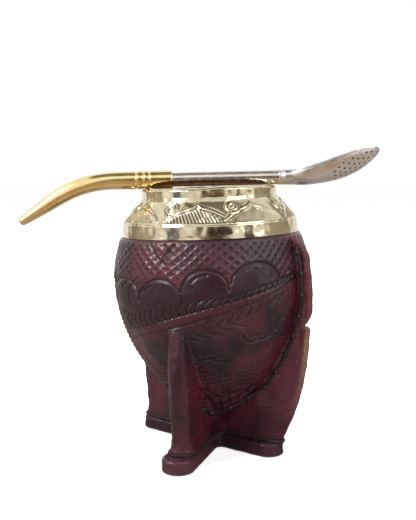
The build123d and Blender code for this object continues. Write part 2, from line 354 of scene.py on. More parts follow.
floor = flat_card(
    "floor",
    [(-FLOOR_HALF, -FLOOR_HALF, 0), (FLOOR_HALF, -FLOOR_HALF, 0),
     (FLOOR_HALF, FLOOR_HALF, 0), (-FLOOR_HALF, FLOOR_HALF, 0)],
    (0.86, 0.86, 0.86),
)
floor_tree = floor.data.materials[0].node_tree
floor_path = add_node(floor_tree, "LightPath")
floor_seen = sums(floor_tree, "MAXIMUM", floor_path.outputs["Is Camera Ray"],
                  floor_path.outputs["Is Glossy Ray"])
floor_shader = floor_tree.nodes["Principled BSDF"]
floor_shader.inputs["Emission Color"].default_value = (1, 1, 1, 1)
floor_tree.links.new(sums(floor_tree, "MULTIPLY", floor_seen, FLOOR_GLOW),
                     floor_shader.inputs["Emission Strength"])
upright_card("card_front", 2, 0.95, 0.26, 0.0, 0.62, (0.17, 0.125, 0.095))
upright_card("card_front_low", 6, 0.94, 0.30, 0.0, 0.130, (0.026, 0.016, 0.014))
upright_card("card_front_high", 9, 0.94, 0.27, 0.19, 0.42, (0.030, 0.017, 0.014))
upright_card("card_left", -50, 0.95, 0.14, 0.0, 0.50, (0.11, 0.14, 0.19))
upright_card("card_right", 50, 0.95, 0.12, 0.0, 0.50, (0.05, 0.04, 0.034))
upright_card("card_far_left", -105, 1.1, 0.50, 0.0, 0.70, (0.42, 0.38, 0.30))
upright_card("card_far_right", 100, 1.1, 0.50, 0.0, 0.70, (0.36, 0.32, 0.26))
level_card("card_above", (-0.42, -0.55), (0.42, 0.40), 1.05, (0.22, 0.20, 0.17))
level_card("card_low", (-0.45, -0.90), (0.45, -0.14), 0.002, (0.30, 0.19, 0.11))
level_card("card_around", (-1.0, -1.0), (1.0, 0.9), 0.001, (0.34, 0.28, 0.24))


def soft_lamp(name, place, aim, size, power):
    """A square area lamp aimed at a point."""
    data = bpy.data.lights.new(name, "AREA")
    data.size = size
    data.energy = power
    lamp = bpy.data.objects.new(name, data)
    lamp.location = place
    x, y, z = np.array(aim) - np.array(place)
    lamp.rotation_euler = (math.atan2(math.hypot(x, y), -z), 0, math.atan2(x, -y) + math.pi)
    bpy.context.scene.collection.objects.link(lamp)
    return lamp


soft_lamp("key_lamp", (-1.25, -0.75, 1.15), (0, 0, 0.07), 0.55, 22.0)
soft_lamp("fill_lamp", (1.3, -0.9, 0.9), (0, 0, 0.07), 1.0, 8.0)
soft_lamp("top_lamp", (0.0, 0.02, 1.5), (0, 0, 0.05), 0.6, 16.0)
soft_lamp("low_lamp", (0.45, -1.2, 0.06), (0, 0, 0.03), 0.8, 7.0)
for unmirrored in ("top_lamp", "low_lamp"):
    bpy.data.objects[unmirrored].visible_glossy = False

world = bpy.data.worlds.new("studio")
world.use_nodes = True
bpy.context.scene.world = world
world_path = add_node(world.node_tree, "LightPath")
seen = sums(world.node_tree, "MAXIMUM", world_path.outputs["Is Camera Ray"],
            world_path.outputs["Is Glossy Ray"])
seen = sums(world.node_tree, "MAXIMUM", seen, world_path.outputs["Is Transmission Ray"])
level = add_node(world.node_tree, "MapRange", {"Value": seen, "To Min": AMBIENT, "To Max": 1.0})
backdrop = world.node_tree.nodes["Background"]
backdrop.inputs["Color"].default_value = (1, 1, 1, 1)
world.node_tree.links.new(level.outputs["Result"], backdrop.inputs["Strength"])

CAMERA_PITCH = 6.08
camera_data = bpy.data.cameras.new("camera")
camera_data.lens = 56.7
camera_data.clip_start = 0.01
camera = bpy.data.objects.new("camera", camera_data)
camera.location = (-0.00287, -0.420, 0.141)
camera.rotation_euler = (math.radians(90 - CAMERA_PITCH), 0, 0)
bpy.context.scene.collection.objects.link(camera)
bpy.context.scene.camera = camera
bpy.context.scene.view_settings.view_transform = "Standard"

# %% [markdown]
# ## Polished metals
#
# The ring is nickel silver, a pale warm metal, and the straw is steel with a gilt
# brass mouthpiece. Handled metal is never a perfect mirror: a fine noise changes its
# roughness from place to place and another dents the shading a little. The ring was
# spun on a lathe, which leaves faint level lines, so its bump also has fine bands
# across its height.

# %% Metals
SCRATCH_DEPTH = 0.000014


def polished_metal(name, colour, worn_colour, roughness, lines=None, patch_scale=90.0, hollow_shade=None):
    """A metal with patches of wear, fine scratches and, if asked, level bands and a
    dark painted shade in the places marked as cut."""
    material, tree, shader = start_material(name, Metallic=1.0)
    here = place_of(tree)
    patches = noise(tree, here, patch_scale, 4.0)
    worn = add_ramp(tree, patches, [(0.40, (0, 0, 0)), (0.72, (1, 1, 1))])
    shown = mix_colours(tree, worn, colour, worn_colour)
    if hollow_shade:
        # Painted shade: the places marked as cut are mixed towards a dark colour.
        shaded_hollows = sums(tree, "MULTIPLY", attribute(tree, "cut"), 0.60)
        shown = mix_colours(tree, shaded_hollows, shown, hollow_shade)
    tree.links.new(shown, shader.inputs["Base Color"])
    rough = add_node(tree, "MapRange", {
        "Value": noise(tree, here, 260.0, 8.0), "From Min": 0.3, "From Max": 0.75,
        "To Min": roughness * 0.65, "To Max": roughness * 1.6,
    })
    tree.links.new(rough.outputs["Result"], shader.inputs["Roughness"])
    height = noise(tree, here, 500.0, 3.0)
    if lines:
        bands = noise(tree, place_of(tree, lines), 1.0, 3.0)
        height = sums(tree, "ADD", height, sums(tree, "MULTIPLY", bands, 1.6))
    add_bump(tree, shader, height, SCRATCH_DEPTH)
    return material


# The ring's dark third colour is painted shade in the hollows of its ornament.
ring_metal = polished_metal(
    "ring_metal", (0.74, 0.65, 0.46), (0.50, 0.42, 0.28), 0.15,
    lines=(8, 8, 1900), hollow_shade=(0.26, 0.20, 0.13))
straw_steel = polished_metal("straw_steel", (0.84, 0.80, 0.76), (0.72, 0.66, 0.61), 0.22)
strainer_steel = polished_metal(
    "strainer_steel", (0.82, 0.83, 0.84), (0.76, 0.74, 0.73), 0.30, patch_scale=45.0)
straw_brass = polished_metal("straw_brass", (0.96, 0.82, 0.42), (0.88, 0.68, 0.29), 0.13)
print("metals:", [m.name for m in (ring_metal, straw_steel, strainer_steel, straw_brass)])

# %% [markdown]
# ## The metal ring
#
# The ring is one sheet of metal, so it is made as a closed profile turned round the
# leaning axis: up the outside, over the rolled lip, down inside the mouth, and back
# just under the outer face. The shoulder carries hand-pressed ornament, eight spiral
# roses with pointed hills between them, filled with slanting lines. It is real
# relief: a height for each point, added along the surface's normal.

# %% The ring's profile and relief
RING_WALL = 0.9
RING_TOP = 134.0
LIP_RISE = 1.35
SLEEVE_RADIUS = 29.5
SLEEVE_FOOT = 127.0
NECK_RADIUS = 34.3
BAND_FOOT = (44.9, 110.5)
BAND_TOP = (44.2, 116.6)
SHOULDER = [BAND_TOP, (43.3, 117.8), (40.5, 121.0), (37.8, 124.4), (35.2, 127.4), (NECK_RADIUS, 129.6)]
ROSE_COUNT = 8
ROSE_STEP = 360 / ROSE_COUNT
FIRST_ROSE = -28.0
FIRST_PEAK = -9.0
RING_COLUMNS = 720
ARC_PER_DEGREE = 41.0 * math.pi / 180
RELIEF_FOOT, RELIEF_TOP = 117.6, 128.6
HILL_FOOT = 118.6
HILL_RISE = 6.0
TIP_RISE = 2.2
RING_HATCH_PITCH = 1.40
ROSE_LEVEL = 124.6
ROSE_FLATTENED = 1.32
ROSE_RING = 3.3
SPIRAL_PITCH = 1.7
RING_ORNAMENT_FOOT = 116.9


def ring_profile():
    """The outer face as (radius, height) from the band's foot over the lip to the
    sleeve's foot: a straight band, a smooth shoulder and neck, and a half-round lip."""
    band = np.linspace(BAND_FOOT, BAND_TOP, 15)[:-1]
    shoulder = smooth_path(SHOULDER, 52)[:-1]
    neck = np.linspace(SHOULDER[-1], (NECK_RADIUS, RING_TOP - LIP_RISE), 8)[:-1]
    turn = np.linspace(0, np.pi, 22)
    middle, half = (NECK_RADIUS + SLEEVE_RADIUS) / 2, (NECK_RADIUS - SLEEVE_RADIUS) / 2
    lip = np.stack([middle + half * np.cos(turn), RING_TOP - LIP_RISE + LIP_RISE * np.sin(turn)], -1)
    sleeve = np.linspace((SLEEVE_RADIUS, RING_TOP - LIP_RISE), (SLEEVE_RADIUS, SLEEVE_FOOT), 8)[1:]
    return np.vstack([band, shoulder, neck, lip, sleeve])


def inner_profile(outer, wall, step):
    """Every step-th point of the profile moved by wall to the hidden side."""
    along = unit(np.gradient(outer, axis=0))
    moved = outer + wall * np.stack([-along[:, 1], along[:, 0]], -1)
    return moved[::-1][::step]


def ring_relief(azimuth, height):
    """Height of the pressed ornament in millimetres. A hill with a pointed tip stands
    between each two roses, drawn by two raised lines and filled with slanting ones;
    each rose is a spiral ridge that winds outwards inside a raised ring."""
    degrees = np.degrees(azimuth)
    relief = 0.18 * bell(height - RELIEF_FOOT, 0.32)
    for k in range(ROSE_COUNT):
        peak = FIRST_PEAK + k * ROSE_STEP - 4.0 * (k % 2)
        off_peak = np.abs(np.mod(degrees - peak + 180, 360) - 180)
        share = np.clip(off_peak / (ROSE_STEP / 2), 0, 1)
        hill = HILL_FOOT + HILL_RISE * (1 - share ** 2.2) + TIP_RISE * np.exp(-off_peak / 2.0)
        near = off_peak < ROSE_STEP / 2
        drop = hill - height
        relief += near * 0.50 * bell(drop, 0.42)
        relief += near * 0.24 * bell(drop - 1.25, 0.34)
        relief -= near * 0.24 * bell(drop + 0.85, 0.42)
        across_lines = degrees * ARC_PER_DEGREE * 0.86 + height * 0.50
        slant = np.cos(2 * np.pi * across_lines / RING_HATCH_PITCH)
        filled = smooth_step(1.7, 2.2, drop) * smooth_step(RELIEF_FOOT + 0.1, RELIEF_FOOT + 0.7, height)
        relief += near * 0.25 * filled * slant
        across = np.mod(degrees - FIRST_ROSE - k * ROSE_STEP + 180, 360) - 180
        up = (height - ROSE_LEVEL) * ROSE_FLATTENED
        out = np.hypot(across * ARC_PER_DEGREE, up)
        spiral = 0.5 + 0.5 * np.cos(2 * np.pi * out / SPIRAL_PITCH - np.arctan2(up, across))
        inside = smooth_step(ROSE_RING - 0.2, ROSE_RING - 0.8, out)
        relief = relief * (1 - smooth_step(ROSE_RING + 0.6, ROSE_RING, out))
        relief += inside * (0.06 + 0.50 * spiral)
        relief += 0.44 * bell(out - ROSE_RING, 0.40) - 0.22 * bell(out - ROSE_RING - 0.85, 0.38)
    return relief * smooth_step(RELIEF_TOP, 127.2, height) * (height > RING_ORNAMENT_FOOT)


turn = np.linspace(-np.pi, np.pi, RING_COLUMNS, endpoint=False)
outer = ring_profile()
azimuths, radii = np.meshgrid(turn, outer[:, 0])
heights = np.repeat(outer[:, 1][:, None], RING_COLUMNS, 1)
on_ring = leaning(radii, azimuths, heights)
ring_up = grid_normals(on_ring)
from_axis = on_ring[10] - leaning(0.0, 0.0, outer[10, 1])
ring_up *= np.sign(np.sum(ring_up[10] * from_axis, -1).mean())
wavy = 0.16 * np.sin(3 * azimuths + 0.8) + 0.09 * np.sin(8 * azimuths) + 0.05 * np.sin(17 * azimuths)
near_lip = smooth_step(130.0, 133.5, heights)
hammered = 0.075 * lumps(on_ring, 6.0, 3) + 0.16 * lumps(on_ring, 19.0, 4)
carved = ring_relief(azimuths, heights)
lift = carved + hammered * smooth_step(110.8, 112.5, heights)
on_ring = on_ring + ring_up * lift[..., None]
on_ring[..., 2] += wavy * near_lip
inner = inner_profile(outer, RING_WALL, 5)
under_ring = leaning(
    np.repeat(inner[:, 0][:, None], RING_COLUMNS, 1), np.tile(turn, (len(inner), 1)),
    np.repeat(inner[:, 1][:, None], RING_COLUMNS, 1))
# Painted shade: how deep each point lies in a hollow of the ornament, which the ring's metal darkens.
painted_hollow_shade = np.vstack([np.clip(-carved / 0.20, 0, 1), np.zeros(under_ring.shape[:2])])
make_piece(
    "rim_ring_pressed", [skin(np.vstack([on_ring, under_ring]), join_rows=True)],
    ring_metal, ["rim_ring"], {"cut": painted_hollow_shade}, sharp_angle=70)

# %% [markdown]
# ## The leather sheet
#
# On the real cup one sheet of wet leather is moulded over the gourd and pinched into
# legs. In plan each level of it is a distance from the upright axis in each
# direction: the gourd's round outline, or a leg's rounded slab where that reaches
# further, with a soft blend where they meet. A slab of half width w seen from the
# axis reaches w over the sine of the angle, until the round of its outer edge.

# %% The shape of the leather
LEATHER_CONTOUR = [
    (0.0, 12.8), (8.0, 14.9), (16.0, 20.2), (24.0, 28.4), (31.5, 37.4), (38.2, 47.4),
    (43.4, 57.6), (47.3, 69.0), (49.5, 80.0), (49.8, 89.0), (48.8, 98.0), (46.4, 107.6),
    (45.6, 109.8),
]
LEATHER_THICKNESS = 2.4
LEATHER_SEAT = [(43.8, 110.6), (42.6, 113.8), (41.6, 113.8)]
LEG_FOOT = 8.2
ROOT_RADIUS = 8.0
FOLDED_LEGS = {"front": -21.5, "left": -132.0, "back": 149.0}
SEAM_AZIMUTH = 57.0
FOLDED_EDGE = [
    (45.0, 8.2), (48.2, 24.0), (50.4, 40.0), (51.2, 52.0), (50.2, 59.0), (46.8, 65.5),
    (40.0, 71.0), (30.0, 77.0),
]
FOLDED_HALF_WIDTH = 4.9
SEAM_LOWER_EDGE = [(40.6, 8.2), (46.1, 19.3), (50.2, 31.0), (53.4, 47.0), (55.0, 65.4)]
SEAM_UPPER_EDGE = [
    (53.3, 67.9), (55.4, 72.5), (56.0, 82.0), (55.0, 95.0), (53.6, 103.0), (50.5, 107.5), (46.0, 110.4),
]
LEATHER_TOP = 109.8

contour_path = smooth_path(LEATHER_CONTOUR, 400)


def contour_radius(height):
    """The gourd's radius in its leather at a height, and 0 below its tip."""
    return np.interp(height, contour_path[:, 1], contour_path[:, 0], left=0.0)


def edge_radius(edge, height):
    """How far a leg's outer edge reaches at a height."""
    radius, level = np.array(edge).T
    return smooth_through(level, radius, np.clip(height, level[0], level[-1]))


def slab_reach(angle, reach, half_width):
    """Distance to the outline of a slab with a fully rounded end, in a direction that
    is off its middle by angle: the end's circle first, then the flat side."""
    angle = np.abs(np.mod(angle + np.pi, 2 * np.pi) - np.pi)
    centre = reach - half_width
    sine = np.sin(angle)
    end = centre * np.cos(angle) + np.sqrt(np.maximum(half_width ** 2 - (centre * sine) ** 2, 0))
    side = half_width / np.maximum(sine, 1e-3)
    reached = np.where(angle < np.arctan2(half_width, centre), end, side)
    return np.where(angle < np.pi / 2, reached, 0.0)


def leather_reach(azimuth, height):
    """Distance from the upright axis to the leather's face."""
    shift = (LEAN_PIVOT - height) * math.tan(LEAN)
    round_part = np.maximum(contour_radius(height), 1.0)
    body = shift * np.sin(azimuth) + np.sqrt(
        np.maximum(round_part ** 2 - (shift * np.cos(azimuth)) ** 2, 0.2))
    reach = smooth_max(body, np.full_like(body, ROOT_RADIUS), 6.0)
    splay = np.exp(-(height - LEG_FOOT) / 2.6)
    for leg_azimuth in FOLDED_LEGS.values():
        edge = edge_radius(FOLDED_EDGE, height) + 2.6 * splay
        half_width = FOLDED_HALF_WIDTH + 1.5 * splay - 0.9 * smooth_step(48.0, 66.0, height)
        slab = slab_reach(azimuth - math.radians(leg_azimuth), edge, half_width)
        reach = smooth_max(reach, slab, 10.0)
    lower = edge_radius(SEAM_LOWER_EDGE, height) - 2.0
    seam = slab_reach(azimuth - math.radians(SEAM_AZIMUTH), lower, 1.5)
    fade = smooth_step(66.0, 58.0, height)
    return smooth_max(reach, seam * fade, 7.0)


def leather_place(azimuth, height, reach):
    """A point of the leather: level at the foot, and following the lean above."""
    rise = reach * np.sin(azimuth) * math.sin(LEAN) * smooth_step(14.0, 60.0, height)
    return np.stack([reach * np.sin(azimuth), -reach * np.cos(azimuth), height + rise], -1)


# %% [markdown]
# ## Tooling the leather
#
# The pattern is worked in by hand with a few tools: a lined roller for the diamond
# hatch, a knife for lobes, stems and barbs, and a stamp for the small scales. The
# drawing is laid out on the unrolled surface, in millimetres round the gourd and up
# it, and repeats three times round the cup between the seams. A stroke presses or
# raises the leather along a smooth line through a few points.

# %% Strokes on the leather
GIRTH_PER_DEGREE = 0.86
PATTERN_START = -63.0
PATTERN_STEP = 120.0
HATCH_PITCH = 3.3
HATCH_TILT = math.radians(50)
SCALE_HEIGHT, SCALE_WIDTH = 2.4, 2.8
LOBES = [(-58, 13, 82, 92), (-31, 14, 82, 92.5), (-5, 13, 87, 97), (24, 15, 90, 99)]
STEM_TOP = [(-64, 65.5), (-39, 70.5), (-17, 76), (6, 81), (24, 84.5), (36, 87), (46, 89), (57, 92)]
STEM_FOOT = [(-64, 61.0), (-41, 66), (-18, 71), (6, 77), (24, 81), (36, 84.5), (46, 87.5), (57, 91.5)]


def stroke_mark(around, up, points, width):
    """1 along a smooth line through points given as (degrees, height), falling off
    beside it as a bell curve. The distance is to the nearest short piece of line."""
    line = smooth_path(points, 10 * len(points))
    line[:, 0] *= GIRTH_PER_DEGREE
    mark = np.zeros_like(up)
    reach = 3 * width
    low, high = line.min(0) - reach, line.max(0) + reach
    near = (around > low[0]) & (around < high[0]) & (up > low[1]) & (up < high[1])
    if near.any():
        spot = np.stack([around[near], up[near]], -1)[:, None, :]
        start, along = line[:-1], np.diff(line, axis=0)
        share = np.sum((spot - start) * along, -1) / np.maximum(np.sum(along ** 2, -1), 1e-9)
        gap = spot - start - np.clip(share, 0, 1)[..., None] * along
        mark[near] = np.exp(-np.min(np.sum(gap ** 2, -1), 1) / width ** 2)
    return mark


def lobe_line(degrees):
    """Height of the row of lobes: each is half an ellipse, and the tallest wins."""
    tops = [
        foot + (top - foot) * np.sqrt(np.maximum(1 - ((degrees - middle) / half) ** 2, 0))
        for middle, half, foot, top in LOBES
    ]
    return np.max(tops, axis=0)


def barbs():
    """Leaf barbs on the stem: upright on the left, leaning forward to the right."""
    strokes = []
    for start in np.arange(-58, 50, 4.3):
        foot = np.interp(start, *np.array(STEM_TOP).T)
        length = np.interp(start, [-45, 0, 45], [7.5, 5.4, 3.6])
        forward = np.interp(start, [-25, 5], [0.5, 8.5])
        middle = (start + forward * 0.35 - 1.0, foot + length * 0.5)
        strokes.append([(start, foot), middle, (start + forward, foot + length)])
    return strokes


def hanging_veins():
    """Short curved strokes below the stem, and longer ones lower down."""
    strokes = []
    for start in np.arange(5, 46, 5.2):
        foot = np.interp(start, *np.array(STEM_FOOT).T) - 1.6
        strokes.append([(start, foot), (start - 0.5, foot - 2.2), (start - 3.2, foot - 4.6)])
    for start in np.arange(-20, 8, 6.5):
        foot = np.interp(start, *np.array(STEM_FOOT).T) - 2.2
        strokes.append([(start, foot), (start + 4.5, foot - 3.8), (start + 12, foot - 5.2)])
    return strokes


LOWER_LEAVES = [
    [(46, 86), (46.5, 80), (45.5, 74), (43, 68.5), (40, 65), (35, 62), (29, 61.4)],
    [(29, 62.6), (25, 61.0), (20, 62.2), (16.5, 66)],
    [(18, 60), (16, 56.5), (13, 53.6), (8, 51.8), (2, 52), (-3, 54)],
    [(-3, 54.6), (-7, 52.4), (-11, 53.4), (-14, 57)],
    [(-53, 79), (-54, 85), (-51, 90), (-46, 93)],
    [(-62, 57), (-57, 50), (-50, 44), (-42, 41)],
    [(-60, 50), (-54, 43), (-46, 38)],
]
CRESCENTS = [
    [(-41, 86.5), (-39, 88.5), (-35, 89.6)], [(-12, 91.5), (-9, 93.6), (-4, 94.6)],
    [(12, 94), (15, 96.2), (19, 97)], [(23, 64.6), (28, 64.4), (33, 66.2)],
    [(-6, 53.6), (0, 53.4), (5, 55.4)], [(42, 91), (46, 93.5), (50, 94)],
]
SCRATCHES = [
    [(-41, 110), (-34, 103.5), (-27, 99)], [(-31, 110), (-25, 105)], [(-23, 109), (-30, 101)],
    [(-61, 72), (-55, 70)], [(-61, 76), (-56, 74.5)], [(-60, 88), (-56, 90)],
]
NET_LINES = [
    [(3, 21.5), (-12, 37)], [(13, 22.6), (0, 35)], [(23, 24), (13, 34.5)], [(32, 26), (26, 35.5)],
    [(40, 28.5), (37, 37)], [(-10, 31), (3, 26), (19, 27.5), (33, 31), (43, 36)],
    [(-10, 37), (3, 31), (19, 32), (31, 36), (41, 42)],
]


def tooling(azimuth, height):
    """Relief in millimetres and three marks from 0 to 1: raised, cut and stained."""
    degrees = np.mod(np.degrees(azimuth) - PATTERN_START, PATTERN_STEP) + PATTERN_START
    around, up = degrees * GIRTH_PER_DEGREE, height
    relief, cut, raised = np.zeros_like(up), np.zeros_like(up), np.zeros_like(up)
    lobes = lobe_line(degrees)
    stem_top = np.interp(degrees, *np.array(STEM_TOP).T)
    stem_foot = np.interp(degrees, *np.array(STEM_FOOT).T)

    # Diamond hatch above the lobes: raised lines at 40 degrees both ways.
    hatch = smooth_step(0.6, 1.8, up - lobes) * smooth_step(110.2, 109.2, up)
    for sign in (-1, 1):
        drift = 0.35 * np.sin(around / 5.0 + 2.0 * sign)
        across = around * math.cos(HATCH_TILT) * sign + up * math.sin(HATCH_TILT) + drift
        phase = across / HATCH_PITCH
        line = bell((np.mod(phase, 1) - 0.5) * HATCH_PITCH, 0.55)
        raised = np.maximum(raised, hatch * line)

    # Stamped scales around the lower leaves, in rows like bricks.
    scales = smooth_step(10.0, 18.0, stem_foot - up) * smooth_step(28.0, 34.0, up)
    row = (up - 0.12 * around) / SCALE_HEIGHT
    brick = around / SCALE_WIDTH + 0.5 * np.mod(np.floor(row), 2)
    mortar = np.maximum(bell((np.mod(row, 1) - 0.5) * SCALE_HEIGHT, 0.52),
                        bell((np.mod(brick, 1) - 0.5) * SCALE_WIDTH, 0.46))
    relief -= 0.42 * scales * mortar
    # The stamped mortar is also coloured dark: dark dye and painted shade in its recesses.
    cut = np.maximum(cut, 0.28 * scales * mortar)

    # Lobes swell, their outlines and the stem's two sides are cut in.
    inside = smooth_step(0.2, 1.6, lobes - up) * smooth_step(0.4, 2.0, up - stem_top)
    relief += 0.55 * inside * np.sqrt(np.clip((lobes - up) / 9.0, 0, 1))
    half_turn = np.linspace(math.pi, 0, 11)
    outline = [
        [(middle + half * math.cos(t), foot + (top - foot) * math.sin(t)) for t in half_turn]
        for middle, half, foot, top in LOBES]
    # Lines, width, depth, how dark (dark dye and painted shade), and how wide and how high its raised
    # sides are.
    tools = [
        (outline + LOWER_LEAVES, 0.50, 0.75, 1.0, 1.1, 0.9),
        ([STEM_TOP, STEM_FOOT], 0.50, 0.45, 0.9, 0, 0),
        (barbs(), 0.46, 0.62, 0.85, 1.0, 0.5),
        (hanging_veins() + CRESCENTS, 0.50, 0.52, 0.75, 1.3, 0.5),
        (NET_LINES + SCRATCHES, 0.62, 0.60, 1.0, 0, 0),
    ]
    for lines, width, depth, dark, side_width, side_height in tools:
        for points in lines:
            mark = stroke_mark(around, up, points, width)
            relief -= depth * mark
            # The cut mark colours each groove near black: dark dye and painted shade.
            cut = np.maximum(cut, dark * mark)
            if side_height:
                sides = stroke_mark(around, up, points, side_width) - mark
                raised = np.maximum(raised, side_height * sides)
    relief += 0.38 * raised
    stem = smooth_step(0.0, 0.6, stem_top - up) * smooth_step(0.0, 0.6, up - stem_foot)
    relief += 0.25 * stem
    stained = np.maximum(inside * 0.9, bell(up - stem_top - 3, 5.0) * 0.8)
    return relief, raised, cut, stained


print("barbs on each stem:", len(barbs()), "and veins:", len(hanging_veins()))

# %% [markdown]
# ## Leather that looks handled
#
# The leather was dyed oxblood, then darkened with a wash that stayed in some places
# and was rubbed off the raised lines. The mesh carries where it is raised, cut or
# stained, so the material only has to mix a dark wash, a red ground, a paler tone on
# the raised lines that is rubbed wear and painted highlight, and near black in the
# cuts that is dark dye and painted shade. A fine grain and a satin shine with softer
# patches finish it.

# %% The leather materials


def leather_material(name, ground, wash, rubbed_and_highlit, roughness, grain=0.00011, tooled=False):
    """Dyed leather: ground and wash mixed by slow noise, with grain in the bump."""
    material, tree, shader = start_material(
        name, Specular_IOR_Level=0.28, Coat_Weight=0.30, Coat_Roughness=0.16)
    here = place_of(tree)
    slow = noise(tree, here, 32.0, 5.0)
    washed = add_ramp(tree, slow, [(0.40, (0, 0, 0)), (0.60, (1, 1, 1))])
    if tooled:
        stain = sums(tree, "MULTIPLY", attribute(tree, "stained"), 0.95)
        washed = sums(tree, "MAXIMUM", washed, stain)
    colour = mix_colours(tree, washed, ground, wash)
    fine = noise(tree, here, 900.0, 3.0)
    speckle = add_ramp(tree, fine, [(0.35, (0.70, 0.70, 0.70)), (0.70, (1.25, 1.22, 1.22))])
    colour = mix_colours(tree, 1.0, colour, speckle, "MULTIPLY")
    if tooled:
        # Raised lines take a paler tone, partly rubbed wear and partly painted highlight; cuts go near
        # black, dark dye deepened by painted shade.
        for mark, share, tone in (("raised", 0.30, rubbed_and_highlit), ("cut", 0.92, (0.005, 0.003, 0.004))):
            marked = sums(tree, "MULTIPLY", attribute(tree, mark), share)
            colour = mix_colours(tree, marked, colour, tone)
    tree.links.new(colour, shader.inputs["Base Color"])
    shine = add_node(tree, "MapRange", {
        "Value": noise(tree, here, 160.0, 6.0), "From Min": 0.3, "From Max": 0.7,
        "To Min": roughness - 0.09, "To Max": roughness + 0.13,
    })
    tree.links.new(shine.outputs["Result"], shader.inputs["Roughness"])
    pores = add_node(tree, "TexVoronoi", {"Vector": here, "Scale": 1500.0}).outputs["Distance"]
    height = sums(tree, "ADD", pores, sums(tree, "MULTIPLY", noise(tree, here, 480.0, 6.0), 1.5))
    add_bump(tree, shader, height, grain)
    return material


OXBLOOD = (0.074, 0.0105, 0.021)
DARK_WASH = (0.013, 0.004, 0.010)
# The paler tone of raised lines: rubbed wear and painted highlight.
RUBBED_AND_HIGHLIT = (0.150, 0.070, 0.090)
tooled_leather = leather_material("tooled_leather", OXBLOOD, DARK_WASH, RUBBED_AND_HIGHLIT, 0.33, tooled=True)
sole_leather = leather_material(
    "sole_leather", (0.070, 0.019, 0.031), (0.034, 0.010, 0.019), RUBBED_AND_HIGHLIT, 0.42, grain=0.00005)
print("leathers made")

# %% [markdown]
# ## One closed sheet
#
# The outer face runs from the foot of the legs up to the ring. It is closer meshed in
# front, where the pattern needs it. The same rows then turn in under the ring and go
# down the inside, and the feet are closed flat, so the leather is a solid skin.

# %% The leather sheet
FRONT_ARC = (-95.0, 62.0)
LEATHER_COLUMNS = 506
LEATHER_ROWS = ((LEG_FOOT, 22.0, 14), (22.0, 58.0, 60), (58.0, LEATHER_TOP, 104))


def uneven_turn(count, dense, weight):
    """Directions round the cup, weight times as close together inside the dense arc."""
    degrees = np.linspace(-180, 180, 1441)
    inside = smooth_step(dense[0] - 8, dense[0], degrees) * smooth_step(dense[1] + 8, dense[1], degrees)
    density = 1 + (weight - 1) * inside
    total = np.concatenate([[0], np.cumsum((density[1:] + density[:-1]) / 2)])
    return np.radians(np.interp(np.linspace(0, total[-1], count, endpoint=False), total, degrees))


directions = uneven_turn(LEATHER_COLUMNS, FRONT_ARC, 2.0)
levels = np.concatenate(
    [np.linspace(low, high, count, endpoint=False) for low, high, count in LEATHER_ROWS]
    + [[LEATHER_TOP]])
azimuths, heights = np.meshgrid(directions, levels)
reach = leather_reach(azimuths, heights)
sheet = leather_place(azimuths, heights, reach)
bare = contour_radius(heights)
on_leg = np.zeros_like(reach)
for leg_azimuth in FOLDED_LEGS.values():
    off_leg = azimuths - math.radians(leg_azimuth)
    beside = np.where(np.cos(off_leg) > 0, np.abs(reach * np.sin(off_leg)), 90.0)
    on_leg = np.maximum(on_leg, smooth_step(FOLDED_HALF_WIDTH + 4.0, FOLDED_HALF_WIDTH + 0.5, beside))
on_leg *= smooth_step(1.0, 3.0, reach - bare) * smooth_step(74.0, 66.0, heights)
relief, raised, cut, stained = tooling(azimuths, heights)
keep = 1 - on_leg
relief, raised, cut, stained = relief * keep, raised * keep, cut * keep, stained * keep
# Random patches in the raised lines' paler tone, which is rubbed wear and painted highlight.
rub_and_highlight_patches = 0.5 + 0.5 * lumps(sheet, 24.0, 11)
raised = raised * np.clip(0.55 + 0.6 * rub_and_highlight_patches, 0, 1)
outwards = grid_normals(sheet)
outwards *= np.sign(np.sum(outwards[100] * sheet[100] * (1, 1, 0), -1).mean())
creases = 0.16 * lumps(sheet * (1, 1, 0.35), 6.0, 12) * on_leg
creases += 0.14 * lumps(sheet * (0.6, 0.6, 1.0), 2.8, 15) * smooth_step(46.0, 34.0, heights)
uneven = 0.22 * lumps(sheet, 30.0, 13) + 0.07 * lumps(sheet, 6.5, 14)
fade_ends = smooth_step(LEG_FOOT, 11.0, heights) * smooth_step(LEATHER_TOP, 107.5, heights)
sheet = sheet + outwards * ((relief + creases + uneven) * fade_ends)[..., None]

seat = np.concatenate([
    leaning(np.full((1, LEATHER_COLUMNS), r), directions[None, :], np.full((1, LEATHER_COLUMNS), z))
    for r, z in LEATHER_SEAT])
inside_levels = np.array([106, 98, 88, 78, 68, 58, 48, 40, 33, 26, 21, 17.6])
inside = leaning(
    (contour_radius(inside_levels) - LEATHER_THICKNESS - 0.4)[:, None] * np.ones(LEATHER_COLUMNS),
    directions[None, :], inside_levels[:, None])
sole_row = sheet[:1] * (0.35, 0.35, 1.0)
rows = np.vstack([sole_row, sheet, seat, inside])
marks = {}
for mark, values in (("raised", raised), ("cut", cut), ("stained", stained)):
    full = np.zeros(rows.shape[:2])
    full[1:1 + len(levels)] = values
    marks[mark] = full
make_piece(
    "leather_moulded", [skin(rows, first_cap=True, last_cap=True)],
    tooled_leather, ["leather_cover", "leg_front", "leg_left", "leg_back"], marks)

# %% [markdown]
# ## The seam's fin
#
# At the seam two edges of leather meet and stand out as an upright fin, which is also
# the fourth leg. It is a flat slab from the gourd's contour out to a hand-cut edge,
# with a notch where the upper strip starts. At each height its section runs out along
# one face, round the edge with a shallow groove between the two layers, and back.

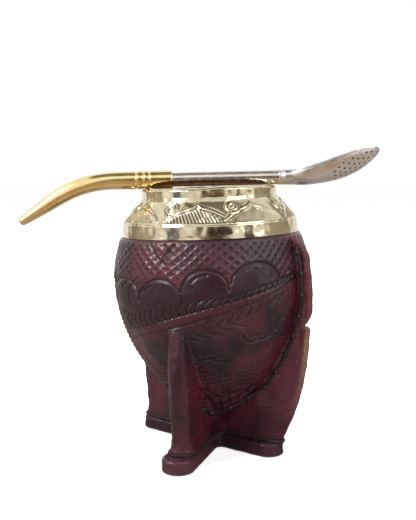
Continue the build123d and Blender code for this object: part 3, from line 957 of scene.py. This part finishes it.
# %% The fin
FIN_HALF = 3.0
FIN_TAPER = 0.38
FIN_LEVELS = np.concatenate([
    np.arange(LEG_FOOT, 64.5, 0.8), np.arange(64.5, 69.0, 0.3),
    np.arange(69.0, 103.0, 0.8), np.arange(103.0, 110.0, 0.35)])
EDGE_ROUND = 0.9
GROOVE_DEPTH = 0.55
seam_turn = math.radians(SEAM_AZIMUTH)
FIN_OUT = np.array([*facing(seam_turn), 0.0])
FIN_SIDE = np.array([-math.cos(seam_turn), -math.sin(seam_turn), 0.0])
UP = np.array([0.0, 0.0, 1.0])


def fin_edge(height):
    """The fin's outer edge: the two cut curves, stepped in at the notch between."""
    lower = edge_radius(SEAM_LOWER_EDGE, height)
    upper = edge_radius(SEAM_UPPER_EDGE, height)
    return np.where(height < 66.6, lower, upper) - 1.2 * bell(height - 66.9, 0.9)


def fin_surface():
    """Rows up the fin, columns round its section from the inner end of one face."""
    root = np.maximum(contour_radius(FIN_LEVELS) - 2.0, 4.0)
    edge = fin_edge(FIN_LEVELS) + 0.10 * np.sin(FIN_LEVELS * 0.7) + 0.05 * np.sin(FIN_LEVELS * 2.3)
    half = np.interp(FIN_LEVELS, [8.2, 12, 60, 70, 100, 110], [3.6, 3.0, 3.0, 2.5, 2.4, 1.6])
    shares = np.linspace(0, 1, 12)
    turns = np.linspace(0, np.pi, 13)
    rows = []
    for z, inner, outer_edge, thick in zip(FIN_LEVELS, root, edge, half):
        flat_end = outer_edge - EDGE_ROUND
        face = inner + (flat_end - inner) * shares
        out = np.concatenate([face, flat_end + EDGE_ROUND * np.sin(turns[1:-1]) ** 0.6, face[::-1]])
        slim = thick * (1 - FIN_TAPER * shares ** 2)
        side = np.concatenate([slim, slim[-1] * np.cos(turns[1:-1]), -slim[::-1]])
        out[12:-12] -= GROOVE_DEPTH * bell(side[12:-12], 0.45)
        rows.append(out[:, None] * FIN_OUT + side[:, None] * FIN_SIDE + z * UP)
    return np.array(rows)


fin = fin_surface()
across = fin @ FIN_SIDE
bend = 0.55 * np.sin(fin[..., 2] / 17.0 + 0.6) * smooth_step(8.2, 20.0, fin[..., 2])
ripple = 0.30 * lumps(fin * (1, 1, 0.4), 6.0, 21) + 0.17 * lumps(fin * (0.5, 0.5, 1.0), 2.6, 22)
ripple *= np.clip(across / FIN_HALF, -1, 1)
fin = fin + (bend + ripple)[..., None] * FIN_SIDE
raw = np.zeros(fin.shape[:2])
raw[:, 11:-11] = 1.0
raw *= np.where(fin[..., 2] < 66.5, smooth_step(14.0, 60.0, fin[..., 2]), 0.25)

fin_leather = leather_material("fin_leather", (0.098, 0.014, 0.027), (0.050, 0.010, 0.019), RUBBED_AND_HIGHLIT, 0.38)
fin_tree = fin_leather.node_tree
fin_shader = fin_tree.nodes["Principled BSDF"]
dyed = fin_shader.inputs["Base Color"].links[0].from_socket
fibres = noise(fin_tree, place_of(fin_tree), 700.0, 5.0)
tan = add_ramp(fin_tree, fibres, [(0.3, (0.09, 0.038, 0.030)), (0.7, (0.27, 0.145, 0.100))])
edged = mix_colours(fin_tree, attribute(fin_tree, "raw"), dyed, tan)
fin_tree.links.new(edged, fin_shader.inputs["Base Color"])
make_piece(
    "seam_fin", [skin(fin, first_cap=True, last_cap=True)],
    fin_leather, ["leg_seam"], {"raw": raw})

# %% [markdown]
# ## Threads, welt and sole
#
# A thick waxed thread runs down each face of the fin, a little outside the gourd's
# contour, with a knot at every stitch. It is a tube swept along that line whose
# radius swells at the knots. Where it reaches the moulded leather it lies on it. The
# welt is the rough black line of glue and stitches between the legs and the sole.

# %% The thread
STITCH_OFFSET = 2.3
STITCH_PITCH = 10.4
THREAD_RADIUS = 0.72
THREAD_CLEAR, WEB_CLEAR = 0.35, 0.40
WEB_STITCH_TOP = 34.0
WEB_STITCHES = [(11, 31.0), (16, 28.4), (24, 25.8), (38, 23.0), (54, 21.2), (64, 21.8), (69, 26.0)]


def tube(path, radii, sides=12):
    """A closed tube along a path: circles across it, turned by a steady frame."""
    along = unit(np.gradient(path, axis=0))
    helper = np.where(np.abs(along @ UP)[:, None] > 0.9, FIN_OUT, UP)
    first = unit(np.cross(along, helper))
    second = np.cross(along, first)
    angle = np.linspace(0, 2 * np.pi, sides, endpoint=False)
    ring = first[:, None] * np.cos(angle)[:, None] + second[:, None] * np.sin(angle)[:, None]
    return skin(path[:, None] + ring * radii[:, None, None], first_cap=True, last_cap=True)


def thread_path(side):
    """The line of stitches on one face of the fin, from below the ring down to the
    root. It then leaves the fin and crosses the moulded web, just outside it, to the
    next leg. Directions on the web are measured from the fin."""
    line = contour_path[:-40]
    slope = unit(np.gradient(line, axis=0))
    moved = line + STITCH_OFFSET * np.stack([slope[:, 1], -slope[:, 0]], -1)
    moved = moved[moved[:, 1] > WEB_STITCH_TOP][::-1]
    out, up = moved.T
    aside = side * (FIN_HALF + THREAD_CLEAR) + 0.55 * np.sin(up / 17.0 + 0.6)
    on_fin = out[:, None] * FIN_OUT + aside[:, None] * FIN_SIDE + up[:, None] * UP
    turns, levels = smooth_path(WEB_STITCHES, 40).T
    turns = seam_turn - side * np.radians(turns)
    web_reach = leather_reach(turns, levels) + WEB_CLEAR
    on_web = np.column_stack([web_reach[:, None] * facing(turns), levels])
    spots = np.vstack([on_fin[:-2], on_web])
    steps = lengths_along(spots)
    at = np.linspace(0, steps[-1], int(steps[-1] / 0.25))
    spots = np.stack([np.interp(at, steps, c) for c in spots.T], -1)
    for _ in range(6):
        spots[1:-1] = (spots[:-2] + spots[1:-1] + spots[2:]) / 3
    return spots


def knotted(path):
    """The thread's radius along its path: a knot every pitch, each about twice as
    thick as the thread, and a twist that shows as a slight ripple."""
    length = lengths_along(path)
    from_knot = np.mod(length - 4.0 + STITCH_PITCH / 2, STITCH_PITCH) - STITCH_PITCH / 2
    return THREAD_RADIUS * (1 + 1.0 * bell(from_knot, 0.9) + 0.10 * np.sin(length * 4.2))


thread, thread_tree, thread_shader = start_material("waxed_thread", Roughness=0.42)
twist = noise(thread_tree, place_of(thread_tree), 1400.0, 3.0)
black = add_ramp(thread_tree, twist, [(0.3, (0.0027, 0.0023, 0.0027)), (0.75, (0.0158, 0.0126, 0.0135))])
thread_tree.links.new(black, thread_shader.inputs["Base Color"])
add_bump(thread_tree, thread_shader, twist, 0.0002)
threads = []
for side in (1, -1):
    path = thread_path(side)
    threads.append(tube(path, knotted(path)))
make_piece("seam_thread_knotted", threads, thread, ["seam_thread"])

# %% [markdown]
# The sole is a flat outline with four rounded toes. Its edge is worked out once as a
# line of evenly spaced points, and each level of the rounded edge is that line moved
# in along its normal. The welt is made the same way from the legs' own outline, with
# a ragged surface.

# %% The sole and the welt
SOLE_THICKNESS = 7.0
TOE_HALF_WIDTH = 8.0
ARCH_HALF_WIDTH = 5.2
ARCH_ROUND = 7.0
LOW_ROUND, HIGH_ROUND = 1.0, 1.6
TOES = {"front": (-21.5, 46.5), "seam": (57.0, 32.5), "back": (149.0, 39.0), "left": (-132.0, 40.5)}


def arm_reach(azimuth, middle, toe):
    """Distance to the outline of one arm of the sole: round its toe, then along its
    side, which widens in a straight line from the arch to the toe."""
    off = np.abs(np.mod(azimuth - math.radians(middle) + np.pi, 2 * np.pi) - np.pi)
    widening = (TOE_HALF_WIDTH - ARCH_HALF_WIDTH) / toe
    side = ARCH_HALF_WIDTH / np.maximum(np.sin(off) - widening * np.cos(off), 1e-3)
    end = toe * np.cos(off) + np.sqrt(np.maximum(TOE_HALF_WIDTH ** 2 - (toe * np.sin(off)) ** 2, 0))
    reached = np.where(off < np.arctan2(TOE_HALF_WIDTH, toe), end, side)
    return np.where(off < 1.5, reached, 0.0)


def sole_reach(azimuth):
    """Distance to the sole's outline: the furthest arm, with hollow corners rounded."""
    reach = np.zeros_like(azimuth)
    for middle, toe in TOES.values():
        reach = smooth_max(reach, arm_reach(azimuth, middle, toe), ARCH_ROUND)
    return reach


def even_outline(reach_of, count):
    """Points evenly spaced along an outline given by its distance in each direction."""
    turn = np.linspace(-np.pi, np.pi, 6000)
    reach = reach_of(turn)
    line = reach[:, None] * facing(turn)
    steps = lengths_along(line)
    at = np.linspace(0, steps[-1], count, endpoint=False)
    return np.stack([np.interp(at, steps, c) for c in line.T], -1)


def outline_rows(outline, profile):
    """The outline at each (inset, height) of a profile, moved in along its normal."""
    along = unit(np.roll(outline, -1, axis=0) - np.roll(outline, 1, axis=0))
    inwards = np.stack([-along[:, 1], along[:, 0]], -1)
    return np.array([np.column_stack([outline + inset * inwards, np.full(len(outline), z)])
                     for inset, z in profile])


low_turn, high_turn = np.linspace(0, np.pi / 2, 6), np.linspace(0, np.pi / 2, 8)
round_low = LOW_ROUND * np.column_stack([1 - np.sin(low_turn), 1 - np.cos(low_turn)])
round_high = HIGH_ROUND * np.column_stack([1 - np.cos(high_turn), np.sin(high_turn) - 1])
sole_profile = np.vstack([round_low, [(0.15, 2.6), (0.25, 4.0)], round_high + (0.15, SOLE_THICKNESS)])
sole_rows = outline_rows(even_outline(sole_reach, 900), sole_profile)
sole_rows[1:-1] += (0.12 * lumps(sole_rows, 9.0, 41))[1:-1, :, None] * (1, 1, 0)
make_piece(
    "sole_leather", [skin(sole_rows, first_cap=True, last_cap=True)], sole_leather, ["sole"])


def foot_line(azimuth):
    """The outline of the moulded leather and the fin where they stand on the sole."""
    level = np.full_like(azimuth, LEG_FOOT)
    return smooth_max(leather_reach(azimuth, level), slab_reach(azimuth - seam_turn, 41.2, 3.7), 1.5)


welt_profile = [(0.6, 6.9), (-0.45, 7.0), (-0.60, 7.5), (-0.45, 8.1), (-0.05, 8.5), (0.9, 8.7)]
welt_points = outline_rows(even_outline(foot_line, 1400), welt_profile)
ragged = 0.26 * lumps(welt_points, 1.5, 31) + 0.18 * lumps(welt_points, 3.6, 32)
welt_points[1:-1] += ragged[1:-1, :, None] * (0.6, 0.6, 0.7)
welt_material, welt_tree, welt_shader = start_material("rough_welt", Roughness=0.75)
bits = noise(welt_tree, place_of(welt_tree), 1500.0, 4.0)
dark_bits = add_ramp(welt_tree, bits, [
    (0.40, (0.008, 0.004, 0.005)), (0.60, (0.022, 0.010, 0.011)), (0.74, (0.13, 0.06, 0.045))])
welt_tree.links.new(dark_bits, welt_shader.inputs["Base Color"])
add_bump(welt_tree, welt_shader, bits, 0.0005)
make_piece(
    "welt_rough", [skin(welt_points, first_cap=True, last_cap=True)], welt_material, ["welt"])

# %% [markdown]
# ## Inside the gourd
#
# The calabash shows only inside the mouth. Its wall is dry woody shell, darkened by
# use, with streaks that run up it. The streaks are noise squeezed round the axis and
# stretched along it.

# %% The calabash
calabash, wood_tree, wood_shader = start_material("calabash_shell", Roughness=0.72)
streaks = noise(wood_tree, place_of(wood_tree, (260, 260, 30)), 1.0, 6.0)
woody = add_ramp(wood_tree, streaks, [
    (0.30, (0.19, 0.10, 0.045)), (0.55, (0.42, 0.26, 0.13)), (0.75, (0.55, 0.37, 0.20))])
wood_tree.links.new(woody, wood_shader.inputs["Base Color"])
add_bump(wood_tree, wood_shader, streaks, 0.0004)
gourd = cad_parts["gourd_shell"]
gourd.data.materials.clear()
gourd.data.materials.append(calabash)
print("the gourd keeps its CAD shape")

# %% [markdown]
# ## The straw
#
# The straw lies in one upright plane a little in front of the axis. Two numbers place
# a point of its line: how far along the straight tube, and how far above it. Bent
# parts follow circle arcs. A section across the line is an ellipse, so each part is a
# tube whose two half sizes change along it, with a wall and a real bore.

# %% The straw's own frame
STRAW_OFFSET = -4.0
TUBE_RADIUS = 3.65
TUBE_WALL = 0.9
FERRULE_RADIUS = 4.55
LIP_RADIUS = (SLEEVE_RADIUS + NECK_RADIUS) / 2
rest_reach = math.sqrt(LIP_RADIUS ** 2 - STRAW_OFFSET ** 2)
lip_centre = leaning(0.0, 0.0, RING_TOP)
lean_across = np.array([math.cos(LEAN), 0.0, math.sin(LEAN)])
left_rest = lip_centre - rest_reach * lean_across + (0, STRAW_OFFSET, FERRULE_RADIUS)
right_rest = lip_centre + rest_reach * lean_across + (0, STRAW_OFFSET, TUBE_RADIUS)
STRAW_ALONG = unit(right_rest - left_rest)
STRAW_UP = np.array([-STRAW_ALONG[2], 0.0, STRAW_ALONG[0]])
STRAW_BACK = np.array([0.0, 1.0, 0.0])
STRAW_ZERO = left_rest - STRAW_ALONG * (left_rest[0] / STRAW_ALONG[0])


def bent_line(start, straight, radius, angle, lengths):
    """Places and directions along a line that runs straight, then round an arc, then
    straight again. Positive straight and radius run to +X and bend upwards."""
    way = math.copysign(1, straight) if straight else 1.0
    straight, bend_length = abs(straight), abs(radius) * angle
    in_bend = np.clip(lengths - straight, 0, bend_length) / abs(radius)
    after = np.maximum(lengths - straight - bend_length, 0)
    along = np.minimum(lengths, straight) + abs(radius) * np.sin(in_bend) + after * np.cos(in_bend)
    rise = abs(radius) * (1 - np.cos(in_bend)) + after * np.sin(in_bend)
    sign = math.copysign(1, radius)
    places = STRAW_ZERO + (start + way * along)[:, None] * STRAW_ALONG + (sign * rise)[:, None] * STRAW_UP
    headings = (
        (way * np.cos(in_bend))[:, None] * STRAW_ALONG + (sign * np.sin(in_bend))[:, None] * STRAW_UP)
    return places, headings


def ellipse_tube(places, headings, half_back, half_up, sides=72):
    """Ellipses across a line: half_back towards the back and half_up across that."""
    angle = np.linspace(0, 2 * np.pi, sides, endpoint=False)
    upward = np.cross(headings, STRAW_BACK)
    return (
        places[:, None] + (half_back[:, None] * np.cos(angle))[..., None] * STRAW_BACK
        + (half_up[:, None] * np.sin(angle))[..., None] * upward[:, None]
    )


# %% [markdown]
# The mouthpiece starts as a ferrule round the tube, with three turned grooves near
# the bend. It narrows a little to a waist, then flattens and widens to the tip, which
# is rounded over so that it is kind to the lips.

# %% The mouthpiece
FERRULE_END = -20.8
FERRULE_START = -41.0
GROOVES = (-32.2, -35.2, -38.8)
MOUTH_STRAIGHT = 9.4
MOUTH_BEND_RADIUS = 56.5
MOUTH_BEND = math.radians(31.9)
MOUTH_END_LENGTH = 21.1
MOUTH_WAIST = 0.60
MOUTH_WALL = 0.85
TIP_LENGTH = 1.6
TIP_ROUND = 0.45
SOCKET_LENGTH = 12.2
GROOVE_SIZE = 0.42
mouth_length = MOUTH_STRAIGHT + MOUTH_BEND_RADIUS * MOUTH_BEND + MOUTH_END_LENGTH
ferrule_length = FERRULE_END - FERRULE_START


def mouth_half_sizes(lengths):
    """Half width and half thickness at lengths from the ferrule's inner end."""
    share = np.clip((lengths - ferrule_length) / mouth_length, 0, 1)
    waist = np.sin(np.pi / 2 * np.minimum(share / MOUTH_WAIST, 1))
    flat = np.clip((share - MOUTH_WAIST) / (1 - MOUTH_WAIST), 0, 1)
    flat = (1 - np.cos(np.pi / 2 * flat) + flat) / 2
    width = FERRULE_RADIUS - 0.30 * waist + 0.65 * flat
    thickness = FERRULE_RADIUS - 0.40 * waist - 1.80 * flat
    for groove in GROOVES:
        from_groove = lengths - (FERRULE_END - groove)
        cut_in = GROOVE_SIZE * np.exp(-(from_groove / GROOVE_SIZE) ** 4)
        width, thickness = width - cut_in, thickness - cut_in
    return width, thickness


total = ferrule_length + mouth_length
tip_start = total - TIP_LENGTH
lengths = np.concatenate([
    np.linspace(0, 8, 10, endpoint=False), np.linspace(8, 21, 90, endpoint=False),
    np.linspace(21, tip_start, 90)])
width, thickness = mouth_half_sizes(lengths)
start_round = np.array([0.45, 0.25, 0.10, 0.0])
width[:4] -= start_round
thickness[:4] -= start_round
lengths[:4] = (0.0, 0.08, 0.25, 0.5)
tip_turn = np.linspace(0, np.pi * 0.98, 14)[1:]
tip_lengths = tip_start + TIP_LENGTH * np.sin(tip_turn)
rounding = TIP_ROUND * (1 - np.cos(tip_turn))
tip_width, tip_thickness = width[-1] - rounding, thickness[-1] - rounding
bore_lengths = np.linspace(tip_start, 9.0, 30)[1:]
inner_limit = TUBE_RADIUS + 0.02
bore_width, bore_thickness = (
    np.minimum(half - MOUTH_WALL, np.where(bore_lengths < SOCKET_LENGTH, inner_limit, np.inf))
    for half in mouth_half_sizes(bore_lengths))
all_lengths = np.concatenate([lengths, tip_lengths, bore_lengths, [0.0]])
all_width = np.concatenate([width, tip_width, bore_width, [inner_limit]])
all_thickness = np.concatenate([thickness, tip_thickness, bore_thickness, [inner_limit]])
places, headings = bent_line(
    FERRULE_END, -(ferrule_length + MOUTH_STRAIGHT), -MOUTH_BEND_RADIUS, MOUTH_BEND, all_lengths)
mouth = ellipse_tube(places, headings, all_width, all_thickness)
make_piece(
    "mouthpiece_brass", [skin(mouth, join_rows=True)],
    straw_brass, ["mouthpiece"], sharp_angle=60)

# %% [markdown]
# The tube is a plain pipe, and the strainer's collar is a short sleeve with a groove.
# Both are rings of a closed outline, outside and bore, swept along the straight line.

# %% The tube
STRAINER_START = 32.8
COLLAR_END = 35.4


def straight_pipe(outline):
    """A closed outline of (place along, radius) turned round the straw's line."""
    along, radius = np.array(outline).T
    places = STRAW_ZERO + along[:, None] * STRAW_ALONG
    headings = np.repeat(STRAW_ALONG[None], len(along), 0)
    return skin(ellipse_tube(places, headings, radius, radius), join_rows=True)


tube_bore = TUBE_RADIUS - TUBE_WALL
tube_stations = np.linspace(FERRULE_END - 12, STRAINER_START, 40)
tube_outline = [(x, TUBE_RADIUS) for x in tube_stations] + [(x, tube_bore) for x in tube_stations[::-2]]
make_piece(
    "straw_tube_steel", [straight_pipe(tube_outline)],
    straw_steel, ["straw_tube"], sharp_angle=60)

# %% [markdown]
# ## The strainer
#
# The strainer is a flattened pouch soldered along its edge. Across it, a point is
# given by how far it lies from the middle line, and the depth of the belly or back
# falls to nothing at the edge. Its holes are real: the grid's lines near each hole
# slide onto the hole's circle, the faces inside are left out, and a Solidify modifier
# gives the sheet its thickness.

# %% The strainer's shape
STRAINER_RADIUS = 95.0
STRAINER_ANGLE = math.radians(30.2)
STRAINER_ROLL = math.radians(38.0)
STRAINER_LENGTH = STRAINER_RADIUS * STRAINER_ANGLE
# Share of the curve, half width, depth of the belly, height of the back.
STRAINER_SECTIONS = np.array([
    (0.00, 3.9, 3.9, 3.9), (0.06, 4.15, 4.0, 3.6), (0.18, 5.8, 4.4, 2.4), (0.40, 8.0, 4.3, 1.3),
    (0.62, 8.8, 4.2, 1.1), (0.80, 7.4, 3.3, 1.0), (0.92, 4.7, 1.9, 0.8), (0.98, 2.6, 0.9, 0.5),
    (1.00, 1.3, 0.4, 0.3),
])
HOLE_RADIUS = 0.58
HOLE_PITCH = 3.0
FIELD_START = 0.50
COLUMN_STEP = 0.052
HOLE_COLUMNS = 9
FIELD_HALF_WIDTH = 6.2


def strainer_size(share, column):
    """One of the strainer's sizes, smoothly along its length."""
    return smooth_through(STRAINER_SECTIONS[:, 0], STRAINER_SECTIONS[:, column], share)


def strainer_point(length, side, under):
    """A point of the pouch from the length along its curve and the distance from its
    middle line. The depth is that of the belly or the back, times one minus the
    squared share of the half width, to a power that goes from round to lens."""
    share = np.clip(length / STRAINER_LENGTH, 0, 1)
    half = strainer_size(share, 1)
    depth = np.where(under, -strainer_size(share, 2), strainer_size(share, 3))
    power = 0.5 + 0.28 * smooth_step(0.02, 0.35, share)
    across = np.clip(side / half, -1, 1)
    rise = depth * np.maximum(1 - across ** 2, 0) ** power
    pinch = 1.3 * bell(share - 0.15, 0.07) * bell(side - 0.6, 2.0)
    rise = rise + np.where(under, pinch, -0.3 * pinch)
    angle = share * STRAINER_ANGLE
    places = STRAW_ZERO + (COLLAR_END + STRAINER_RADIUS * np.sin(angle))[..., None] * STRAW_ALONG
    places = places + (STRAINER_RADIUS * (1 - np.cos(angle)))[..., None] * STRAW_UP
    upward = np.cos(angle)[..., None] * STRAW_UP - np.sin(angle)[..., None] * STRAW_ALONG
    wide = math.cos(STRAINER_ROLL) * STRAW_BACK - math.sin(STRAINER_ROLL) * upward
    deep = math.sin(STRAINER_ROLL) * STRAW_BACK + math.cos(STRAINER_ROLL) * upward
    return places + side[..., None] * wide + rise[..., None] * deep


def flow_holes():
    """Length and side of every hole: offset columns in a field with rounded ends."""
    found = []
    for column in range(HOLE_COLUMNS):
        share = column / (HOLE_COLUMNS - 1)
        reach = FIELD_HALF_WIDTH * math.sqrt(1 - (1.35 * share - 0.55) ** 2)
        for row in range(-3, 4):
            side = (row + (column % 2) / 2) * HOLE_PITCH
            if abs(side) <= reach:
                found.append(((FIELD_START + column * COLUMN_STEP) * STRAINER_LENGTH, side))
    return np.array(found)


# %% The strainer's sheet
SPACING = 0.26
FIELD_CLEAR = 23.0
SHEET_THICKNESS = 0.25
near_lengths = np.concatenate([
    np.linspace(0, FIELD_CLEAR, 44, endpoint=False),
    np.arange(FIELD_CLEAR, STRAINER_LENGTH - 0.3, SPACING), [STRAINER_LENGTH]])
belly_columns = 75
back_columns = 34
belly_share = np.linspace(-1, 1, belly_columns)
back_share = np.cos(np.linspace(0, np.pi, back_columns))[1:-1]
half_widths = strainer_size(near_lengths / STRAINER_LENGTH, 1)
round_share = np.sin(belly_share * np.pi / 2)
roundness = smooth_step(0.45, 0.25, near_lengths / STRAINER_LENGTH)[:, None]
belly_side = half_widths[:, None] * (belly_share * (1 - roundness) + round_share * roundness)
belly_length = np.repeat(near_lengths[:, None], belly_columns, 1)
holes = flow_holes()
in_hole = np.zeros(belly_side.shape, bool)
for hole_length, hole_side in holes:
    offset_length, offset_side = belly_length - hole_length, belly_side - hole_side
    gap = np.maximum(np.hypot(offset_length, offset_side), 1e-6)
    slide = np.abs(gap - HOLE_RADIUS) < 0.78 * SPACING
    factor = np.where(slide, HOLE_RADIUS / gap, 1.0)
    belly_length = hole_length + offset_length * factor
    belly_side = hole_side + offset_side * factor
    in_hole |= (gap < HOLE_RADIUS) & ~slide
belly = strainer_point(belly_length, belly_side, np.full(belly_side.shape, True))
back_side = half_widths[:, None] * back_share
back_length = np.repeat(near_lengths[:, None], len(back_share), 1)
back = strainer_point(back_length, back_side, np.full(back_side.shape, False))
pouch = np.hstack([belly, back])
vertices, quads, triangles = skin(pouch, last_cap=True)
lost = np.zeros(len(vertices), bool)
lost[:pouch.shape[0] * pouch.shape[1]] = np.hstack([in_hole, np.zeros(back_side.shape, bool)]).ravel()
quads = quads[~lost[quads].any(1)]
used = np.zeros(len(vertices), bool)
used[quads.ravel()] = True
used[triangles.ravel()] = True
renumber = np.cumsum(used) - 1
pouch_skin = (vertices[used], renumber[quads], renumber[triangles])
pouch_piece = make_piece(
    "strainer_pouch", [pouch_skin], strainer_steel, ["strainer"], sharp_angle=50)
sheet_wall = pouch_piece.modifiers.new("sheet", "SOLIDIFY")
sheet_wall.thickness = SHEET_THICKNESS * MM
sheet_wall.offset = -1.0
print("holes in the strainer:", len(holes))

# %% [markdown]
# The two halves of the pouch meet in a rolled bead, from just behind the collar,
# round the tip and back. It is a thin tube along the pouch's edge.

# %% The bead and the collar
bead_lengths = np.linspace(0.07, 0.995, 120) * STRAINER_LENGTH
edge_half = strainer_size(bead_lengths / STRAINER_LENGTH, 1)
front_edge = strainer_point(bead_lengths, -edge_half, np.full(edge_half.shape, True))
back_edge = strainer_point(bead_lengths, edge_half, np.full(edge_half.shape, True))
tip = strainer_point(np.array([STRAINER_LENGTH]), np.array([0.0]), np.array([True]))
bead_path = np.vstack([front_edge, tip, back_edge[::-1]])
bead_radius = np.interp(np.linspace(0, 1, len(bead_path)), [0, 0.08, 0.92, 1], [0.12, 0.46, 0.46, 0.12])
collar_outline = [
    (32.7, 3.0), (32.7, 3.65), (32.78, 3.80), (33.0, 3.88), (34.3, 3.88), (34.45, 3.62), (34.7, 3.62),
    (34.85, 3.88), (35.3, 3.88), (35.5, 3.82), (35.6, 3.70), (35.6, 3.0), (34.0, 3.0),
]
make_piece("strainer_bead", [tube(bead_path, bead_radius, 14)], strainer_steel)
make_piece(
    "strainer_collar", [straight_pipe(collar_outline)], straw_steel, sharp_angle=60)
